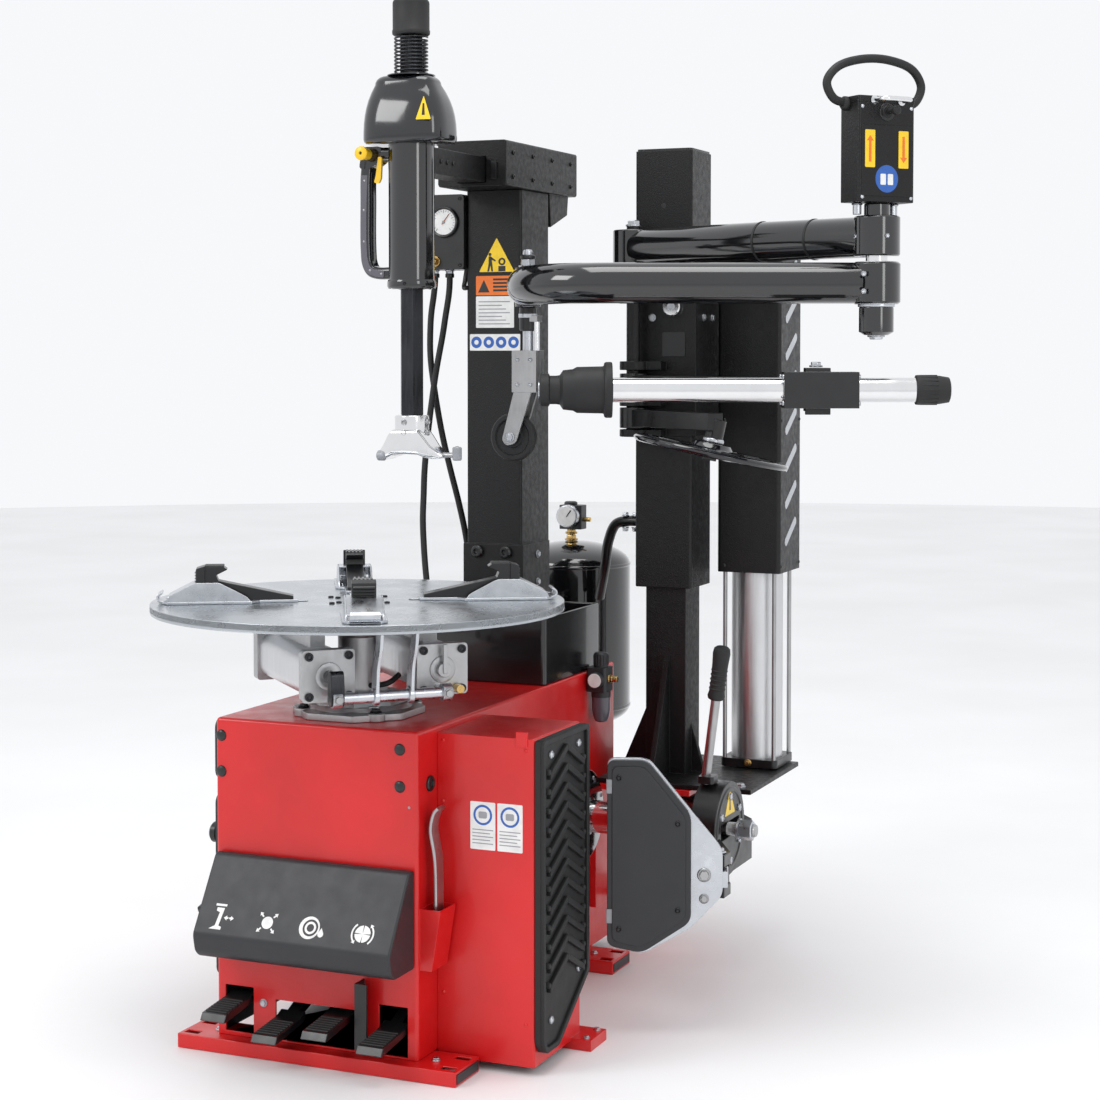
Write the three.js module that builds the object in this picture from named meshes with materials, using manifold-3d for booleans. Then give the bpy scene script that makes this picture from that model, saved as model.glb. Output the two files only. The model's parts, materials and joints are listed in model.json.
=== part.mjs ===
// Tire changer with a tilting column, a turntable with four jaws, a bead breaker and a
// bead-pressing helper with swinging arms. Millimetres, +Z up, +Y towards the back.
// Everything is drawn about the turntable's axis (X = Y = 0 on the floor); the last lines
// move the machine so that the origin is the middle of its bounding box, on the floor.
import * as THREE from "three";
import { mergeVertices } from "three/addons/utils/BufferGeometryUtils.js";
import Module from "manifold-3d";

const wasm = await Module();
wasm.setup();

// ---- Driving dimensions ----
const GAP = 0.3; // between pieces that touch
const SHEET = 4; // thickness of the cabinet's sheet metal

const RAIL = { halfLength: 279, width: 97, height: 26, frontY: -178, rearY: 555 };
const CABINET = { x: [-212, 194], y: [-150, 780], z: [RAIL.height + GAP, 602] };
const WING = { x: [CABINET.x[1] + GAP, 381], y: [-73, 137], z: [15, 590] };
const PAD_THICKNESS = 20;
const PEDAL = { width: 50, tipY: -242, rearY: -60, thickness: 9 };
const PEDALS = [
  { x: -166, z: 88, slotZ: [34, 118], slotX: [-194, -136] },
  { x: -63, z: 62, slotZ: [30, 102], slotX: [-90, 70] },
  { x: 37, z: 80, slotZ: [30, 102], slotX: [-90, 70] },
  { x: 145, z: 68, slotZ: [30, 118], slotX: [118, 174] },
];
const PEDAL_PIVOT = { y: -40, radius: 7 };

const DISC = { radius: 375, top: 807, thickness: 12, slotHalfWidth: 13, slot: [92, 330] };
const SPINDLE_RADIUS = 38;
const NECK_RADIUS = 46; // of the gear box where it passes through the cabinet's top
const JAW_TURN = 30; // degrees of the first jaw from +X
const JAW = { inner: 110, outer: 352, wideFrom: 178, halfWidth: 38, plate: 6, clawAt: 260 };
const JAW_CYLINDER = { turn: -44, offset: 105, width: 96, z: [650, 742], from: -165, to: 157 };

const COLUMN = { halfX: 62, y: [590, 735], z: [642, 1592], wall: 6 };
const TILT_AXIS = { y: 748, z: 656, pin: 12 };
const BEAM = { halfX: 76, y: [485, 855], z: [COLUMN.z[1] + GAP, 1684] };
const BAR = { halfX: 30, z: [1600, 1650], y: [250, 820] };
const HEAD = { y: 217, tubeRadius: 44, z: [1378, 1653], springBore: 34, guideTop: 1420 };
const SHAFT = { hexRadius: 24, z: [1139, 1857.7] };
const SPRING = { outer: 33, inner: 25.5, z: [HEAD.guideTop + 5, 1857.4] };
const CAP = { radius: 36, top: 1927 };
const GAUGE_BOX = { y: [578, 650], z: [1430, 1585] };
const BUTTON = { x: -86, z: 1636, radius: 11 };

const POST = { x: [257, 381], y: [735, 859], z: [770, 1674], wall: 6 };
const POST_FOOT = { inset: 18, plateTop: 380, plateBottom: 370 };
const PIVOT = { x: 270, y: 690, pin: 14, hub: 28 }; // where the helper's arms swing
const CARRIAGE_Z = [1085, 1425];
const LIFT = { x: 464, y: 925, radius: 58, z: [384, 1010] };
const COVER = { x: [398, 536], y: [850, 1000], z: [796, 1470] };

const VIEW_TURN = 23.2; // degrees that the parked arms are turned from +X
const along = new THREE.Vector3(Math.cos(rad(VIEW_TURN)), Math.sin(rad(VIEW_TURN)), 0);
const across = new THREE.Vector3(-along.y, along.x, 0);
const ARM_TUBE = 38;
const ELBOW = { x: 847, y: 436, pin: 20 };
const UPPER_Z = 1471;
const FORE_Z = 1386;
const FORE = { straight: 477, bend: 170, tail: 120 };
const PRESS = { x: 156, y: 411 };
const BLOCK = { x: 766, y: 346, z: 1190, halfLength: 68, half: 33 };
const BLOCK_HINGE = 58; // behind the block's centre
const CENTRING = { radius: 22.5, left: -378, right: 174, tip: -500 };
const LIFT_DISC = { x: 502, y: 506, z: 1065, radius: 153, tilt: 12 };

const BREAKER = { pivotX: 350, pivotY: 800, rodY: 480, rodZ: 338, armX: [500, 552] };
const BLADE = { x: 508, y: 236, turn: 20, half: 106, black: 153, hingeAlong: 84 };

// ---- Small tools for solids ----
function rad(degrees) {
  return (degrees * Math.PI) / 180;
}

function solid(geometry) {
  const bare = geometry.index ? geometry : geometry.clone();
  bare.deleteAttribute("normal");
  bare.deleteAttribute("uv");
  const merged = mergeVertices(bare, 1e-3);
  return new wasm.Manifold(
    new wasm.Mesh({
      numProp: 3,
      vertProperties: new Float32Array(merged.attributes.position.array),
      triVerts: new Uint32Array(merged.index.array),
    }),
  );
}

const join = (first, ...rest) => rest.reduce((all, next) => all.add(next), first);
const cut = (first, ...rest) => rest.reduce((all, next) => all.subtract(next), first);

function box(x, y, z) {
  const shape = new THREE.BoxGeometry(x[1] - x[0], y[1] - y[0], z[1] - z[0]);
  shape.translate((x[0] + x[1]) / 2, (y[0] + y[1]) / 2, (z[0] + z[1]) / 2);
  return solid(shape);
}

// A cone or cylinder along an axis; centre holds the two other coordinates in X, Y, Z order.
function rod(axis, radius, span, centre = [0, 0], sides = 20, farRadius = radius) {
  const shape = new THREE.CylinderGeometry(farRadius, radius, span[1] - span[0], sides);
  const middle = (span[0] + span[1]) / 2;
  if (axis === "z") {
    shape.rotateX(Math.PI / 2);
    shape.translate(centre[0], centre[1], middle);
  } else if (axis === "x") {
    shape.rotateZ(-Math.PI / 2);
    shape.translate(middle, centre[0], centre[1]);
  } else {
    shape.translate(centre[0], middle, centre[1]);
  }
  return solid(shape);
}

// A solid of revolution about Z from [radius, height] points listed up the outside.
function turned(points, x = 0, y = 0, sides = 28) {
  const profile = points.map(([radius, height]) => new THREE.Vector2(radius, height));
  const shape = new THREE.LatheGeometry(profile, sides);
  shape.rotateX(Math.PI / 2);
  shape.translate(x, y, 0);
  return solid(shape);
}

// An outline of [a, b] points pushed along an axis: z takes (x, y), x takes (y, z), y takes (x, z).
function prism(axis, outline, span) {
  const flat = new THREE.Shape(outline.map(([a, b]) => new THREE.Vector2(a, b)));
  const shape = new THREE.ExtrudeGeometry(flat, {
    depth: span[1] - span[0],
    bevelEnabled: false,
    curveSegments: 8,
  });
  if (axis === "z") shape.translate(0, 0, span[0]);
  if (axis === "x") {
    shape.applyMatrix4(new THREE.Matrix4().set(0, 0, 1, span[0], 1, 0, 0, 0, 0, 1, 0, 0, 0, 0, 0, 1));
  }
  if (axis === "y") {
    shape.applyMatrix4(new THREE.Matrix4().set(1, 0, 0, 0, 0, 0, -1, span[1], 0, 1, 0, 0, 0, 0, 0, 1));
  }
  return solid(shape);
}

function circle(radius, sides) {
  return Array.from({ length: sides }, (_, i) => {
    const turn = (2 * Math.PI * i) / sides;
    return new THREE.Vector2(radius * Math.cos(turn), radius * Math.sin(turn));
  });
}

// A pipe, or a bar when wall is 0, along a curve.
function pipe(curve, radius, steps, sides = 12, wall = 0) {
  const section = new THREE.Shape(circle(radius, sides));
  if (wall > 0) section.holes.push(new THREE.Path(circle(radius - wall, sides).reverse()));
  return solid(
    new THREE.ExtrudeGeometry(section, { extrudePath: curve, steps, bevelEnabled: false }),
  );
}

function path(...points) {
  const route = new THREE.CurvePath();
  points.slice(1).forEach((next, i) => route.add(new THREE.LineCurve3(points[i], next)));
  return route;
}

const turn = (made, degrees) => made.rotate([0, 0, degrees]);
const shift = (made, x, y, z = 0) => made.translate([x, y, z]);

// ---- Materials ----
const paint = (color, roughness = 0.4, metalness = 0) =>
  new THREE.MeshStandardMaterial({ color, roughness, metalness });
const finish = {
  red: () => paint(0xc5161b, 0.35),
  black: () => paint(0x17181a, 0.45),
  textured: () => paint(0x101113, 0.7),
  gloss: () => paint(0x0b0c0e, 0.15),
  plastic: () => paint(0x1d1f22, 0.55),
  rubber: () => paint(0x1b1c1e, 0.85),
  zinc: () => paint(0xb9bdc1, 0.35, 0.9),
  steel: () => paint(0xa3a6a8, 0.4, 1),
  chrome: () => paint(0xc9ccd0, 0.12, 1),
  aluminium: () => paint(0xc4c6c9, 0.35, 0.9),
  yellow: () => paint(0xf2c50f, 0.4),
};

const machine = new THREE.Group();

function add(name, made, look) {
  const mesh = made.getMesh();
  const shape = new THREE.BufferGeometry();
  shape.setAttribute("position", new THREE.BufferAttribute(mesh.vertProperties, 3));
  shape.setIndex(new THREE.BufferAttribute(mesh.triVerts, 1));
  shape.computeVertexNormals();
  const part = new THREE.Mesh(shape, finish[look]());
  part.name = name;
  machine.add(part);
}

const inside = ([low, high], by) => [low + by, high - by];

// ---- Base: cabinet, wing, pad, rails, hood and pedals ----
function rail(frontY) {
  const y = [frontY, frontY + RAIL.width];
  const half = RAIL.halfLength;
  const slots = [-1, 1].flatMap((side) =>
    [0.2, 0.8].map((share) => {
      const x = side * (half - 22);
      const across = frontY + share * RAIL.width;
      return box([x - 14, x + 14], [across - 8, across + 8], [-1, RAIL.height + 1]);
    }),
  );
  const channel = box([-half + 8, half - 8], inside(y, SHEET), [-1, RAIL.height - SHEET]);
  return cut(box([-half, half], y, [0, RAIL.height]), channel, ...slots);
}

function cabinet() {
  const { x, y, z } = CABINET;
  const shell = cut(
    box(x, y, z),
    box(inside(x, SHEET), inside(y, SHEET), [z[0] - 1, z[1] - SHEET]),
    rod("z", NECK_RADIUS + GAP, [z[1] - 10, z[1] + 1], [0, 0], 32),
    ...PEDALS.map((p) => box(p.slotX, [y[0] - 1, y[0] + SHEET + 1], p.slotZ)),
  );
  const ear = (side) =>
    prism(
      "x",
      [[715, z[1] - 1], [782, z[1] - 1], [768, 668], [754, 678], [742, 678], [728, 668]],
      [side * 80 - 9, side * 80 + 9],
    );
  const pin = rod("x", TILT_AXIS.pin, [-85, 85], [TILT_AXIS.y, TILT_AXIS.z], 16);
  const stop = box([-40, 40], [600, 645], [z[1] - 1, COLUMN.z[0] - GAP]);
  const guard = join(
    box([86, 90], [y[0] - 32, y[0] + 1], [42, 160]),
    box([86, 110], [y[0] - 32, y[0] - 28], [42, 160]),
  );
  // The pedals' common shaft runs from side to side inside, just behind the slots.
  const shaft = rod("x", PEDAL_PIVOT.radius, [x[0] + 1, x[1] - 1], [PEDAL_PIVOT.y, 110], 12);
  const rearFloor = box(inside(x, 1), [RAIL.rearY, RAIL.rearY + RAIL.width], [z[0], z[0] + SHEET]);
  return join(shell, ear(-1), ear(1), pin, stop, guard, shaft, rearFloor, toolPocket());
}

function sideWing() {
  const { x, y, z } = WING;
  const shell = cut(box(x, y, z), box(inside(x, SHEET), inside(y, SHEET), [z[0] - 1, z[1] - SHEET]));
  const foot = join(
    box([342, 420], [92, 168], [0, 20]),
    box([342, x[1]], [y[1] - SHEET, y[1]], [10, 60]),
  );
  const tab = box([x[1] - 34, x[1] - 12], [y[0] - 3, y[0] + 1], [z[1] - 14, z[1] + 12]);
  return join(shell, foot, tab);
}

function beadPad() {
  const [front, back] = WING.y;
  const from = WING.x[1] + GAP;
  const outline = [[front, 60], [front + 14, 38], [-2, 38], [back, 134], [back, 588], [front, 588]];
  const cutFoot = box([from - 1, 421], [91, 169], [0, 60]);
  return cut(prism("x", outline, [from, from + PAD_THICKNESS]), cutFoot);
}

function pedalHood() {
  const back = CABINET.y[0] - GAP;
  const outer = [[back, 188], [back, 362], [-168, 362], [-247, 232], [-240, 200]];
  const inner = [[back + 1, 193], [back + 1, 357], [-165, 357], [-241, 231], [-236, 205]];
  return cut(prism("x", outer, [-203, 188]), prism("x", inner, [-199, 184]));
}

function pedal({ x, z }) {
  const half = PEDAL.width / 2;
  const tip = PEDAL.tipY;
  const outline = [
    [tip, z - 10], [tip + 8, z + 3], [tip + 90, z + 12], [PEDAL_PIVOT.y, 122],
    [PEDAL_PIVOT.y + 14, 110], [PEDAL_PIVOT.y, 97], [tip + 90, z], [tip + 10, z - 10],
  ];
  const bore = rod("x", PEDAL_PIVOT.radius + 0.4, [x - 99, x + 99], [PEDAL_PIVOT.y, 110], 12);
  const arm = cut(
    prism("x", outline.reverse(), [x - half, x + half]),
    box([x - half - 1, x - 12], [tip + 108, 20], [0, 200]),
    box([x + 12, x + half + 1], [tip + 108, 20], [0, 200]),
    bore,
  );
  return arm;
}

// ---- Turntable: disc, spindle, jaw cylinders and jaws ----
function tableDisc() {
  const { radius, top, thickness, slot, slotHalfWidth } = DISC;
  const rim = radius - 6;
  const plate = turned(
    [
      [0, top - thickness], [rim - 4, top - thickness], [rim, top - 16], [radius, top - 16],
      [radius, top], [0, top],
    ],
    0, 0, 56,
  );
  const slots = [0, 1, 2, 3].map((k) =>
    turn(box(slot, [-slotHalfWidth, slotHalfWidth], [top - 30, top + 5]), JAW_TURN + 90 * k),
  );
  return cut(plate, ...slots);
}

function tableSpindle() {
  const under = DISC.top - DISC.thickness - GAP;
  return turned(
    [
      [0, 420], [SPINDLE_RADIUS, 420], [SPINDLE_RADIUS, under - 40], [84, under - 36],
      [84, under], [0, under],
    ],
    0, 0, 32,
  );
}

function jawCylinder(side) {
  const { width, z, from, to, offset } = JAW_CYLINDER;
  const y = side * offset;
  const end = side > 0 ? [to - 12, to] : [to - 26, to];
  const capY = [y - width / 2, y + width / 2];
  const barrelZ = (z[0] + z[1]) / 2;
  const head = join(
    box([end[0] - 10, end[1]], capY, z),
    box([from, from + 26], capY, z),
    rod("x", width / 2 - 5, [from + 10, to - 10], [y, barrelZ], 20),
    box([from + 50, to - 60], [y - 14, y + 14], [barrelZ, DISC.top - DISC.thickness - GAP]),
    rod("x", 12, [to - 5, to + (side > 0 ? 14 : 40)], [y, barrelZ], 16),
  );
  return turn(head, JAW_CYLINDER.turn);
}

function jaw(index) {
  const { inner, outer, wideFrom, halfWidth, plate, clawAt } = JAW;
  const base = DISC.top + GAP;
  const slide = prism(
    "z",
    [
      [inner, -20], [wideFrom, -22], [wideFrom + 14, -halfWidth], [outer - 8, -halfWidth],
      [outer, -halfWidth + 10], [outer, halfWidth - 10], [outer - 8, halfWidth],
      [wideFrom + 14, halfWidth], [wideFrom, 22], [inner, 20],
    ],
    [base, base + plate],
  );
  const flanges = [-1, 1].map((side) =>
    prism(
      "y",
      [[wideFrom + 20, base + 1], [outer - 6, base + 1], [clawAt + 30, base + 24], [clawAt - 10, base + 24]],
      [side * (halfWidth - 6) - 2, side * (halfWidth - 6) + 2],
    ),
  );
  const claw = prism(
    "y",
    [
      [118, base + 4], [clawAt + 30, base + 4], [clawAt + 34, base + 30], [clawAt + 24, base + 60],
      [clawAt - 14, base + 60], [clawAt - 10, base + 46], [clawAt - 24, base + 36], [118, base + 10],
    ],
    [-19, 19],
  );
  const tongue = box([196, 262], [-11, 11], [DISC.top - DISC.thickness + 1, base + 1]);
  return turn(join(slide, ...flanges, claw, tongue), JAW_TURN + 90 * index);
}

// The gear box hangs under the cabinet's top; its neck passes through to the eight-sided flange.
function gearMotor() {
  const low = CABINET.z[1] + GAP;
  const top = CABINET.z[1] - SHEET - GAP;
  const housing = box([-110, 110], [-95, 115], [430, top - 8]);
  const collar = rod("z", 70, [top - 10, top], [0, 0], 24);
  const neck = rod("z", NECK_RADIUS, [top - 4, low + 10], [0, 0], 32);
  const flange = turned(
    [[0, low], [122, low], [122, low + 12], [96, low + 16], [84, low + 34], [0, low + 34]], 0, 0, 8,
  );
  const motor = rod("y", 62, [110, 330], [-20, 480], 24);
  const bore = rod("z", SPINDLE_RADIUS + 0.6, [410, low + 40], [0, 0], 32);
  return cut(join(housing, collar, neck, turn(flange, 22.5), motor), bore);
}

// ---- Top of the cabinet ----
function storageTray() {
  const low = CABINET.z[1] + GAP;
  const top = 736;
  return cut(
    box([-150, 190], [415, 705], [low, top]),
    box([-97, 97], [584, 706], [low - 1, top + 1]),
    box([-142, 182], [423, 577], [low + 30, top + 1]),
    box([105, 182], [570, 697], [low + 60, top + 1]),
    box([-142, -105], [570, 697], [low + 60, top + 1]),
  );
}

// A welded pocket on the cabinet's right side, open at the top.
function toolPocket() {
  const x = [CABINET.x[1] - 1, 234];
  const y = [-142, -80];
  const outer = prism("y", [[x[0], 184], [x[0] + 24, 184], [x[1], 292], [x[0], 292]], y);
  const hollow = [[x[0] + 3, 187], [x[0] + 22, 187], [x[1] - 3, 293], [x[0] + 3, 293]];
  const inner = prism("y", hollow, inside(y, 3));
  return cut(outer, inner);
}

// A flat steel lever with a bent tip and a bent foot, standing in the pocket.
function tireLever() {
  const thickness = 7;
  const centre = [[212, 196], [216, 300], [214, 380], [206, 430], [214, 462], [222, 470]];
  const right = centre.map(([x, z]) => [x + thickness / 2, z]);
  const left = centre.map(([x, z]) => [x - thickness / 2, z]).reverse();
  return prism("y", [...right, ...left], [-127, -97]);
}

// ---- Rear: air tank, regulator, helper bracket ----
function airTank() {
  const [x, y, radius] = [-10, 1045, 128];
  const [low, top] = [410, 833];
  const domed = (r0, depth, from, to) => {
    const arc = [0, 30, 60, 90].map((a) => [r0 * Math.cos(rad(a)), depth * Math.sin(rad(a))]);
    const bottom = arc.slice().reverse().map(([r, h]) => [r, from + depth - h]);
    const dome = arc.map(([r, h]) => [r, to - depth + h]);
    return turned([...bottom, ...dome], x, y, 28);
  };
  const air = domed(radius - 4, 45, low + 4, top - 4);
  const drain = rod("z", 6, [low - 1, low + 20], [x, y], 12);
  const arms = [470, 720].map((z) => box([x - 40, x + 40], [CABINET.y[1] + GAP, y], [z, z + 14]));
  const wall = box([x - 40, x + 40], [CABINET.y[1] + GAP, CABINET.y[1] + 8], [440, 600]);
  const post = box([x - 40, x + 40], [CABINET.y[1] + GAP, CABINET.y[1] + 8], [590, 734]);
  const gauge = box([x - 24, x + 30], [y - 30, y + 6], [860, 922]);
  const stem = rod("z", 9, [top - 4, 862], [x, y - 14], 12);
  const outside = join(domed(radius, 48, low, top), ...arms, wall, post, stem, gauge);
  return cut(outside, air, drain);
}

function filterRegulator() {
  const x0 = CABINET.x[1] + GAP;
  return join(
    box([x0, 236], [618, 664], [560, 612]),
    rod("z", 19, [498, 562], [219, 641], 14),
    rod("z", 15, [610, 642], [219, 641], 14),
  );
}

function helperBracket() {
  const x0 = CABINET.x[1] + GAP;
  const y = [640, 862];
  const { pivotX, pivotY } = BREAKER;
  const top = POST_FOOT.plateBottom - GAP;
  return join(
    box([x0, x0 + 14], y, [110, top]),
    box([x0, 412], y, [top - 12, top]),
    box([x0, 392], [745, 862], [110, 126]),
    rod("z", PIVOT.pin, [118, top - 4], [pivotX, pivotY], 16),
  );
}

function beadCylinder() {
  const x0 = CABINET.x[1] + GAP;
  const centre = [BREAKER.rodY, BREAKER.rodZ];
  const made = join(
    rod("x", 93, [x0, 256], centre, 28),
    rod("x", 32, [250, 345], centre, 24),
  );
  return cut(made, rod("x", 14, [x0 + 20, 346], centre, 16));
}

// ---- Air hoses: each hangs from the gauge box and is as long as its route ----
const HOSE_RADIUS = 6.5;
const HOSE_TO_TRAY = [
  [-111, 612, GAUGE_BOX.z[0] - GAP], [-111, 612, 1408], [-112, 611.7, 1388], [-114, 611, 1370],
  [-119, 608, 1334], [-124, 605, 1296], [-136, 598, 1220], [-145, 592, 1146], [-151, 585, 1075],
  [-154, 578, 1010], [-153.5, 573, 962], [-152, 566, 910], [-147, 560, 857], [-140, 554, 805],
  [-125, 545, 712], [-117, 542, 633.5],
];
const HOSE_TO_CABINET = [
  [-140, 602, GAUGE_BOX.z[0] - GAP], [-140, 602, 1408], [-144, 603, 1376], [-149, 603.4, 1346],
  [-152, 604, 1316], [-154, 607, 1252], [-148, 612, 1186], [-134, 621, 1088], [-118, 629, 1010],
  [-103, 637, 942], [-91, 646, 872], [-84, 654, 796], [-82, 660, 720], [-82, 662, 685],
  [-83, 664, 650], [-84, 666, CABINET.z[1] + GAP],
];

function hose(points) {
  const route = new THREE.CatmullRomCurve3(points.map(([x, y, z]) => at(x, y, z)), false, "centripetal");
  return pipe(route, HOSE_RADIUS, 30, 8);
}

// ---- Tilting column, beam and mounting head ----
function tiltColumn() {
  const { halfX, y, z, wall } = COLUMN;
  const tube = cut(
    box([-halfX, halfX], y, z),
    box([-halfX + wall, halfX - wall], inside(y, wall), [z[0] - 1, z[1] - wall]),
  );
  const web = box([-halfX, halfX], [y[1] - 2, TILT_AXIS.y], [TILT_AXIS.z - 12, TILT_AXIS.z + 20]);
  const knuckle = rod("x", 22, [-halfX, halfX], [TILT_AXIS.y, TILT_AXIS.z], 20);
  const bore = rod("x", TILT_AXIS.pin + 0.5, [-99, 99], [TILT_AXIS.y, TILT_AXIS.z], 16);
  const foot = box([-halfX - 6, halfX + 6], [y[0] - 5, y[1] - 10], [690, 862]);
  const skirt = cut(foot, box([-halfX + 1, halfX - 1], inside(y, 1), [600, 900]));
  return cut(join(tube, web, knuckle, skirt), bore);
}

function armBeam() {
  const { halfX, y, z } = BEAM;
  const channel = box([-BAR.halfX - 1, BAR.halfX + 1], [y[0] - 1, y[1] + 1], [BAR.z[0] - 1, BAR.z[1] + 1]);
  const chin = prism(
    "x",
    [[y[1] - 110, z[0] - 70], [y[1] - 20, z[0] - 40], [y[1] - 14, z[0] + 1], [y[1] - 118, z[0] + 1]],
    [-halfX + 14, halfX - 14],
  );
  return cut(join(box([-halfX, halfX], y, z), chin), channel);
}

function gaugeBox() {
  const x1 = -COLUMN.halfX - GAP;
  return join(
    box([x1 - 88, x1], GAUGE_BOX.y, GAUGE_BOX.z),
    rod("y", 30, [GAUGE_BOX.y[0] - 8, GAUGE_BOX.y[0] + 2], [x1 - 44, 1528], 20),
  );
}

function armBar() {
  const { halfX, y, z } = BAR;
  const bar = box([-halfX, halfX], [HEAD.y + 30, y[1]], z);
  const hollow = box([-halfX + 5, halfX - 5], [HEAD.y + 90, y[1] + 1], inside(z, 5));
  const round = rod("z", HEAD.tubeRadius + GAP, [z[0] - 1, z[1] + 1], [0, HEAD.y], 28);
  return cut(bar, hollow, round);
}

function headHousing() {
  const { y, tubeRadius, z, springBore, guideTop } = HEAD;
  const tube = turned(
    [
      [SHAFT.hexRadius + 1, z[0]], [tubeRadius - 6, z[0]], [tubeRadius, z[0] + 8], [tubeRadius, z[1]],
      [springBore, z[1]], [springBore, guideTop], [SHAFT.hexRadius + 1, guideTop],
      [SHAFT.hexRadius + 1, z[0]],
    ],
    0, y, 28,
  );
  return tube;
}

function headHood() {
  const low = HEAD.z[1] + GAP;
  const [x0, x1] = [-88, 84];
  const side = [
    [x0 + 22, low], [x1 - 18, low], [x1, low + 22], [x1, 1736], [x1 - 22, 1768],
    [x1 - 40, 1782], [x0 + 40, 1782], [x0 + 14, 1766], [x0, 1732], [x0, low + 26],
  ];
  const plan = [
    [x0, HEAD.y - 40], [x0 + 30, HEAD.y - 64], [x1 - 26, HEAD.y - 64], [x1, HEAD.y - 40],
    [x1, HEAD.y + 44], [x1 - 20, HEAD.y + 62], [x0 + 20, HEAD.y + 62], [x0, HEAD.y + 44],
  ];
  const block = prism("y", side, [HEAD.y - 70, HEAD.y + 70]).intersect(prism("z", plan, [low - 1, 1790]));
  return cut(block, rod("z", CAP.radius + 2, [low - 1, 1790], [0, HEAD.y], 28));
}

function gripHandle() {
  const y = [HEAD.y - 17, HEAD.y + 17];
  const right = -HEAD.tubeRadius - GAP;
  const outer = [
    [right, 1395], [right, 1650], [-94, 1650], [-104, 1634], [-104, 1440], [-92, 1404], [-78, 1395],
  ];
  const inner = [
    [right - 10, 1420], [right - 10, 1622], [-80, 1622], [-88, 1610], [-88, 1446], [-82, 1426],
    [-74, 1420],
  ];
  const buttonWell = rod("y", BUTTON.radius + 0.6, [y[0] - 1, y[0] + 12], [BUTTON.x, BUTTON.z], 16);
  return cut(prism("y", outer, y), prism("y", inner, [y[0] - 1, y[1] + 1]), buttonWell);
}

function lockButton() {
  const front = HEAD.y - 17;
  return join(
    rod("y", BUTTON.radius, [front - 22, front + 3], [BUTTON.x, BUTTON.z], 16),
    rod("y", BUTTON.radius + 2.5, [front - 28, front - 20], [BUTTON.x, BUTTON.z], 16),
  );
}

function mountHead() {
  const y = HEAD.y;
  const wing = prism(
    "y",
    [
      [-66, 1053], [-52, 1053], [-30, 1063], [30, 1066], [52, 1057], [72, 1058], [66, 1070],
      [40, 1090], [30, 1112], [-30, 1112], [-42, 1088], [-64, 1068],
    ],
    [y - 34, y + 30],
  );
  const socket = rod("z", 32, [1096, SHAFT.z[0] - GAP], [0, y], 24);
  const pin = join(
    rod("x", 5, [60, 104], [y - 6, 1064], 10),
    rod("z", 9, [1054, 1080], [98, y - 6], 14),
  );
  return join(wing, socket, pin);
}

// ---- Helper: post, lift cylinder, carriage and arms ----
function helperColumn() {
  const { x, y, z, wall } = POST;
  const { inset, plateTop, plateBottom } = POST_FOOT;
  const footX = inside(x, inset);
  const footY = inside(y, inset);
  const tube = cut(box(x, y, z), box(inside(x, wall), inside(y, wall), [z[0] + wall, z[1] + 1]));
  const foot = box(footX, footY, [plateTop - 2, z[0] + 1]);
  const core = box(inside(footX, wall), inside(footY, wall), [plateBottom - 1, z[0] - wall]);
  const plate = box([206, 540], [648, 980], [plateBottom, plateTop]);
  const low = plateTop - 1;
  const high = 640; // top of the gussets
  const edge = plateTop + 12;
  const middle = (footX[0] + footX[1]) / 2;
  const front = footY[0] + 4;
  const gusset = (far) => prism("y", [[middle, low], [far, low], [far, edge], [middle, high]], [790, 802]);
  const frontGusset = prism("x", [[front, low], [front, high], [654, edge], [654, low]], [316, 328]);
  return cut(join(tube, foot, plate, gusset(212), gusset(388), frontGusset), core);
}

function liftCylinder() {
  const { x, y, radius, z } = LIFT;
  const square = (from, to) => box([x - 62, x + 62], [y - 62, y + 62], [from, to]);
  const ties = [-1, 1].flatMap((a) =>
    [-1, 1].map((b) => rod("z", 5, [z[0] + 2, z[1] - 2], [x + a * 54, y + b * 54], 8)),
  );
  const bore = rod("z", 44, [z[0] + 20, z[1] - 20], [x, y], 24);
  const mouth = rod("z", 13, [z[1] - 40, z[1] + 1], [x, y], 16);
  const body = join(
    rod("z", radius - 4, z, [x, y], 28), square(z[0] - 2, z[0] + 14), square(z[1] - 22, z[1]), ...ties,
  );
  const foot = box([x - 40, x + 40], [y - 30, y + 30], [POST_FOOT.plateTop + GAP, z[0]]);
  return cut(join(body, foot), bore, mouth);
}

function carriage() {
  const play = 1.5;
  const wall = 12;
  const innerX = inside(POST.x, -play);
  const innerY = inside(POST.y, -play);
  const sleeve = cut(
    box(inside(innerX, -wall), inside(innerY, -wall), CARRIAGE_Z),
    box(innerX, innerY, [CARRIAGE_Z[0] - 1, CARRIAGE_Z[1] + 1]),
  );
  const lug = (low, high) =>
    join(
      rod("z", PIVOT.hub, [low, high], [PIVOT.x, PIVOT.y], 20),
      box([PIVOT.x - PIVOT.hub, PIVOT.x + 60], [PIVOT.y, innerY[0] - 2], [low, high]),
    );
  const pin = rod("z", PIVOT.pin, [CARRIAGE_Z[0] + 2, UPPER_Z + 46], [PIVOT.x, PIVOT.y], 16);
  return join(
    sleeve, pin, lug(CARRIAGE_Z[0], 1100), lug(1148, 1160), lug(1222, 1240), lug(1405, CARRIAGE_Z[1]),
  );
}

function carriageCover() {
  const { x, y, z } = COVER;
  const wall = 3;
  return cut(box(x, y, z), box(inside(x, wall), inside(y, wall), [z[0] - 1, z[1] - wall]));
}

function liftRod() {
  return rod("z", 12, [LIFT.z[1] - 320, COVER.z[1] - 3 - GAP], [LIFT.x, LIFT.y], 16);
}

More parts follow.
